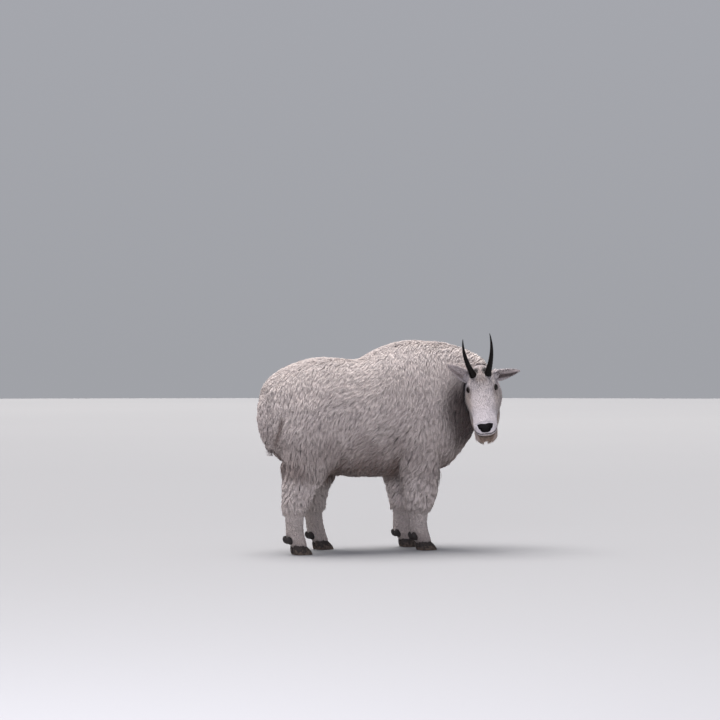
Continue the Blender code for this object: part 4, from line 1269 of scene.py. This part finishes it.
def head_coat(surface, dice):
    """The short hair of the face, longer on crown, cheeks and nape, the hair of the ears and the beard."""
    middle = surface.corners.mean(1)
    here = on_head(middle)
    ear = np.maximum(ear_share(middle, "right"), ear_share(middle, "left")) > 0
    rooted = scatter(surface, (here & ~ear).astype(float), FACE_TUFTS, dice)
    kept = clear_of_bare_places(rooted[0])
    rooted = [array[kept] for array in rooted]
    count = len(rooted[0])
    hx, _, hz = in_head(rooted[0]).T
    nape = smooth_step(-hx, 0.03, 0.11)
    cheek = smooth_step(-hz, 0.0, 0.06) * smooth_step(-hx, -0.11, -0.05)
    crown = smooth_step(hz, 0.02, 0.05) * smooth_step(-hx, -0.05, 0.0)
    tall = np.maximum(cheek, crown)
    lengths = 0.0075 + 0.006 * smooth_step(-hx, -0.15, -0.04) + 0.013 * tall + 0.012 * nape
    lengths *= dice.uniform(0.75, 1.25, count)
    heights = lengths * (0.16 + 0.10 * tall) * dice.uniform(0.5, 1.1, count)
    widths = dice.uniform(0.0020, 0.0032, count)
    face = grow(rooted, lengths, heights, widths, FACE_HAIR, 0.85, True, dice)

    rooted = scatter(surface, (here & ear).astype(float), EAR_TUFTS, dice)
    roots, ups, _ = rooted
    keep = np.ones(len(roots), dtype=bool)
    for side in SIDES:
        inside = (ear_share(roots, side) > 0) & (ups @ head_way(*ear_rings(side)[2]) > 0.25)
        keep &= ~(inside & (dice.random(len(roots)) < 0.72))
    rooted = [array[keep] for array in rooted]
    count = len(rooted[0])
    lengths = dice.uniform(0.008, 0.015, count)
    heights = lengths * dice.uniform(0.08, 0.2, count)
    widths = dice.uniform(0.0018, 0.0028, count)
    ears = grow(rooted, lengths, heights, widths, EAR_HAIR, 0.75, True, dice)

    centre = in_head(middle)
    jaw = here & (centre[:, 0] > 0.070) & (centre[:, 0] < 0.205) & (centre[:, 2] < -0.044)
    rooted = scatter(surface, jaw.astype(float), BEARD_TUFTS, dice)
    along, aside, _ = in_head(rooted[0]).T
    count = len(along)
    lengths = np.clip(0.074 - (along - 0.098) * 0.34, 0.042, 0.074) * dice.uniform(0.7, 1.06, count)
    lengths += 0.014 * smooth_step(np.abs(aside), 0.008, 0.030)
    widths = dice.uniform(0.0026, 0.0042, count)
    beard = grow(rooted, lengths, lengths * 0.10, widths, BEARD_HAIR, 0.0, True, dice)
    return face, ears, beard


def coat_name(place, is_long):
    """The piece of the coat that a tuft with its root there belongs to."""
    x, y, z = place
    side = "left" if y > 0 else "right"
    if is_long and x < -0.43 and abs(y) < 0.055 and z > 0.44:
        return "coat_tail"
    if z < 0.40 or not is_long:
        return f"coat_leg_{'fore' if x > 0 else 'hind'}_{side}"
    if x > 0.40:
        return f"coat_neck_{side}"
    return f"coat_{'shoulder' if x > 0.17 else 'barrel' if x > -0.10 else 'rump'}_{side}"


def part_coat(wool_tufts, leg_tufts, face, ears, beard):
    """Sorts the tufts into the pieces of the coat by where their roots are."""
    pieces = {"coat_face": [face], "coat_ears": [ears], "coat_beard": [beard]}
    for tufts, is_long in ((wool_tufts, True), (leg_tufts, False)):
        names = np.array([coat_name(place, is_long) for place in tufts.roots.tolist()])
        for name in sorted(set(names.tolist())):
            pieces.setdefault(name, []).append(some_of(tufts, names == name))
    return {name: coat_piece(name, groups) for name, groups in pieces.items()}


# How many tufts each part of the coat has
LONG_TUFTS, LEG_TUFTS, FACE_TUFTS, EAR_TUFTS, BEARD_TUFTS = 66000, 11000, 19000, 4600, 3600

DICE = np.random.default_rng(SEED)

# The skin, and what lies close to it
head_skin, nose_pad = head_forms()
for form in (head_skin, nose_pad):
    form.data.transform(HEAD_FRAME)
HEAD_TREE = tree_of(head_skin)
outline = body_form(0.0, 0.012, 3)
OUTLINE_TREE = tree_of(outline)
remove(outline)
skin = combine(body_form(SKIN_SHARE, 0.0075, 6), [head_skin], "UNION")
skin.name = "skin"
unwrap(skin)
SKIN_TREE = tree_of(skin)
skin_places, skin_ups = rows(skin.data.vertices, "co", 3), rows(skin.data.vertices, "normal", 3)
tell(skin.data, "marking_and_shade", "FLOAT_COLOR", markings_and_shade(skin_places, skin_ups, on_head(skin_places)))

# The coat
whole = surface_of(skin)
coat = part_coat(*body_coat(whole, DICE), *head_coat(whole, DICE))

WOOL, SHORT_COAT = wool(), haired_skin()
flesh = ["torso", "neck", "head", "tail"]
for side in SIDES:
    flesh.append(f"ear_{side}")
    flesh += [f"leg_{end}_{side}_{half}" for end in ("fore", "hind") for half in ("upper", "lower")]
place_piece(skin, SHORT_COAT, "coat", *flesh)
for piece in coat.values():
    place_piece(piece, WOOL, "coat")

# Nose, eyes, horns and feet
place_piece(nose_pad, nose_skin(), "nose", "nose_pad")
nose_pad.name = "nose_skin"
EYE, HORN, HOOF_WALL = wet_eye(), horn_keratin(), hoof_keratin()
for side in SIDES:
    for piece, finish, slot, stands_for in (
        (eyeball(side), EYE, "eye", f"eye_{side}"),
        (horn(side), HORN, "horn", f"horn_{side}"),
    ):
        piece.data.transform(HEAD_FRAME)
        place_piece(piece, finish, slot, stands_for)
for (end, side), foot in foot_places().items():
    for toe, outward in (("outer", SIDES[side]), ("inner", -SIDES[side])):
        where = f"{end}_{side}_{toe}"
        place_piece(hoof(f"hoof_wall_{where}", foot, outward), HOOF_WALL, "hoof", f"hoof_{where}")
        place_piece(dewclaw(f"dewclaw_wall_{where}", foot, outward), HOOF_WALL, "hoof", f"dewclaw_{where}")


def disc(name, radius, sides=96):
    work = bmesh.new()
    bmesh.ops.create_circle(work, cap_ends=True, segments=sides, radius=radius)
    return object_from(work, name)


floor = disc("studio_floor", 40.0)
floor.data.materials.append(studio_floor())


def lamp(name, kind, place, power, tint, **shape):
    """A lamp of the given kind that faces the middle of the goat."""
    light = bpy.data.lights.new(name, kind)
    light.energy, light.color = power, linear(tint)
    for setting, value in shape.items():
        setattr(light, setting, value)
    made = bpy.data.objects.new(name, light)
    bpy.context.scene.collection.objects.link(made)
    made.location = place
    made.rotation_euler = (Vector((0.0, 0.0, 0.55)) - Vector(place)).to_track_quat("-Z", "Y").to_euler()


# A wide soft key from above and a little behind, even over the whole floor, and a weak fill in front
lamp("key_above", "SUN", (-0.5, 0.9, 4.0), 4.7, "#fffaf7", angle=math.radians(50))
lamp("fill_front", "AREA", (-3.2, -5.0, 2.2), 95, "#f0efff", shape="SQUARE", size=3.0)

# Studio air, dimmer at mid height and brightest overhead, so that the coat keeps its shading
world = bpy.data.worlds.new("studio_air")
world.use_nodes = True
air = world.node_tree
way = node(air, "ShaderNodeTexCoord").outputs["Generated"]
height = node(air, "ShaderNodeSeparateXYZ", {0: way}).outputs["Z"]
shade = colours(air, height, (0.0, "#d0d2d9"), (0.17, "#d6d8e0"), (0.30, "#85878f"), (0.85, "#f2f3fa"))
air.links.new(shade, air.nodes["Background"].inputs["Color"])
air.nodes["Background"].inputs["Strength"].default_value = 0.56
bpy.context.scene.world = world
bpy.context.scene.view_settings.view_transform = "Standard"

# The photo's view: level, 22 degrees off square to the goat's right side, about 10 m away
AIM, DISTANCE, AZIMUTH = Vector((-0.0988, 0.0542, 0.876)), 10.0, math.radians(-22)
camera = bpy.data.objects.new("camera", bpy.data.cameras.new("camera"))
bpy.context.scene.collection.objects.link(camera)
back_off = Vector((math.sin(AZIMUTH), -math.cos(AZIMUTH), 0))
camera.location = AIM + back_off * DISTANCE
camera.rotation_euler = (-back_off).to_track_quat("-Z", "Y").to_euler()
camera.data.sensor_width = 36.0
camera.data.angle = math.radians(18.84)
bpy.context.scene.camera = camera
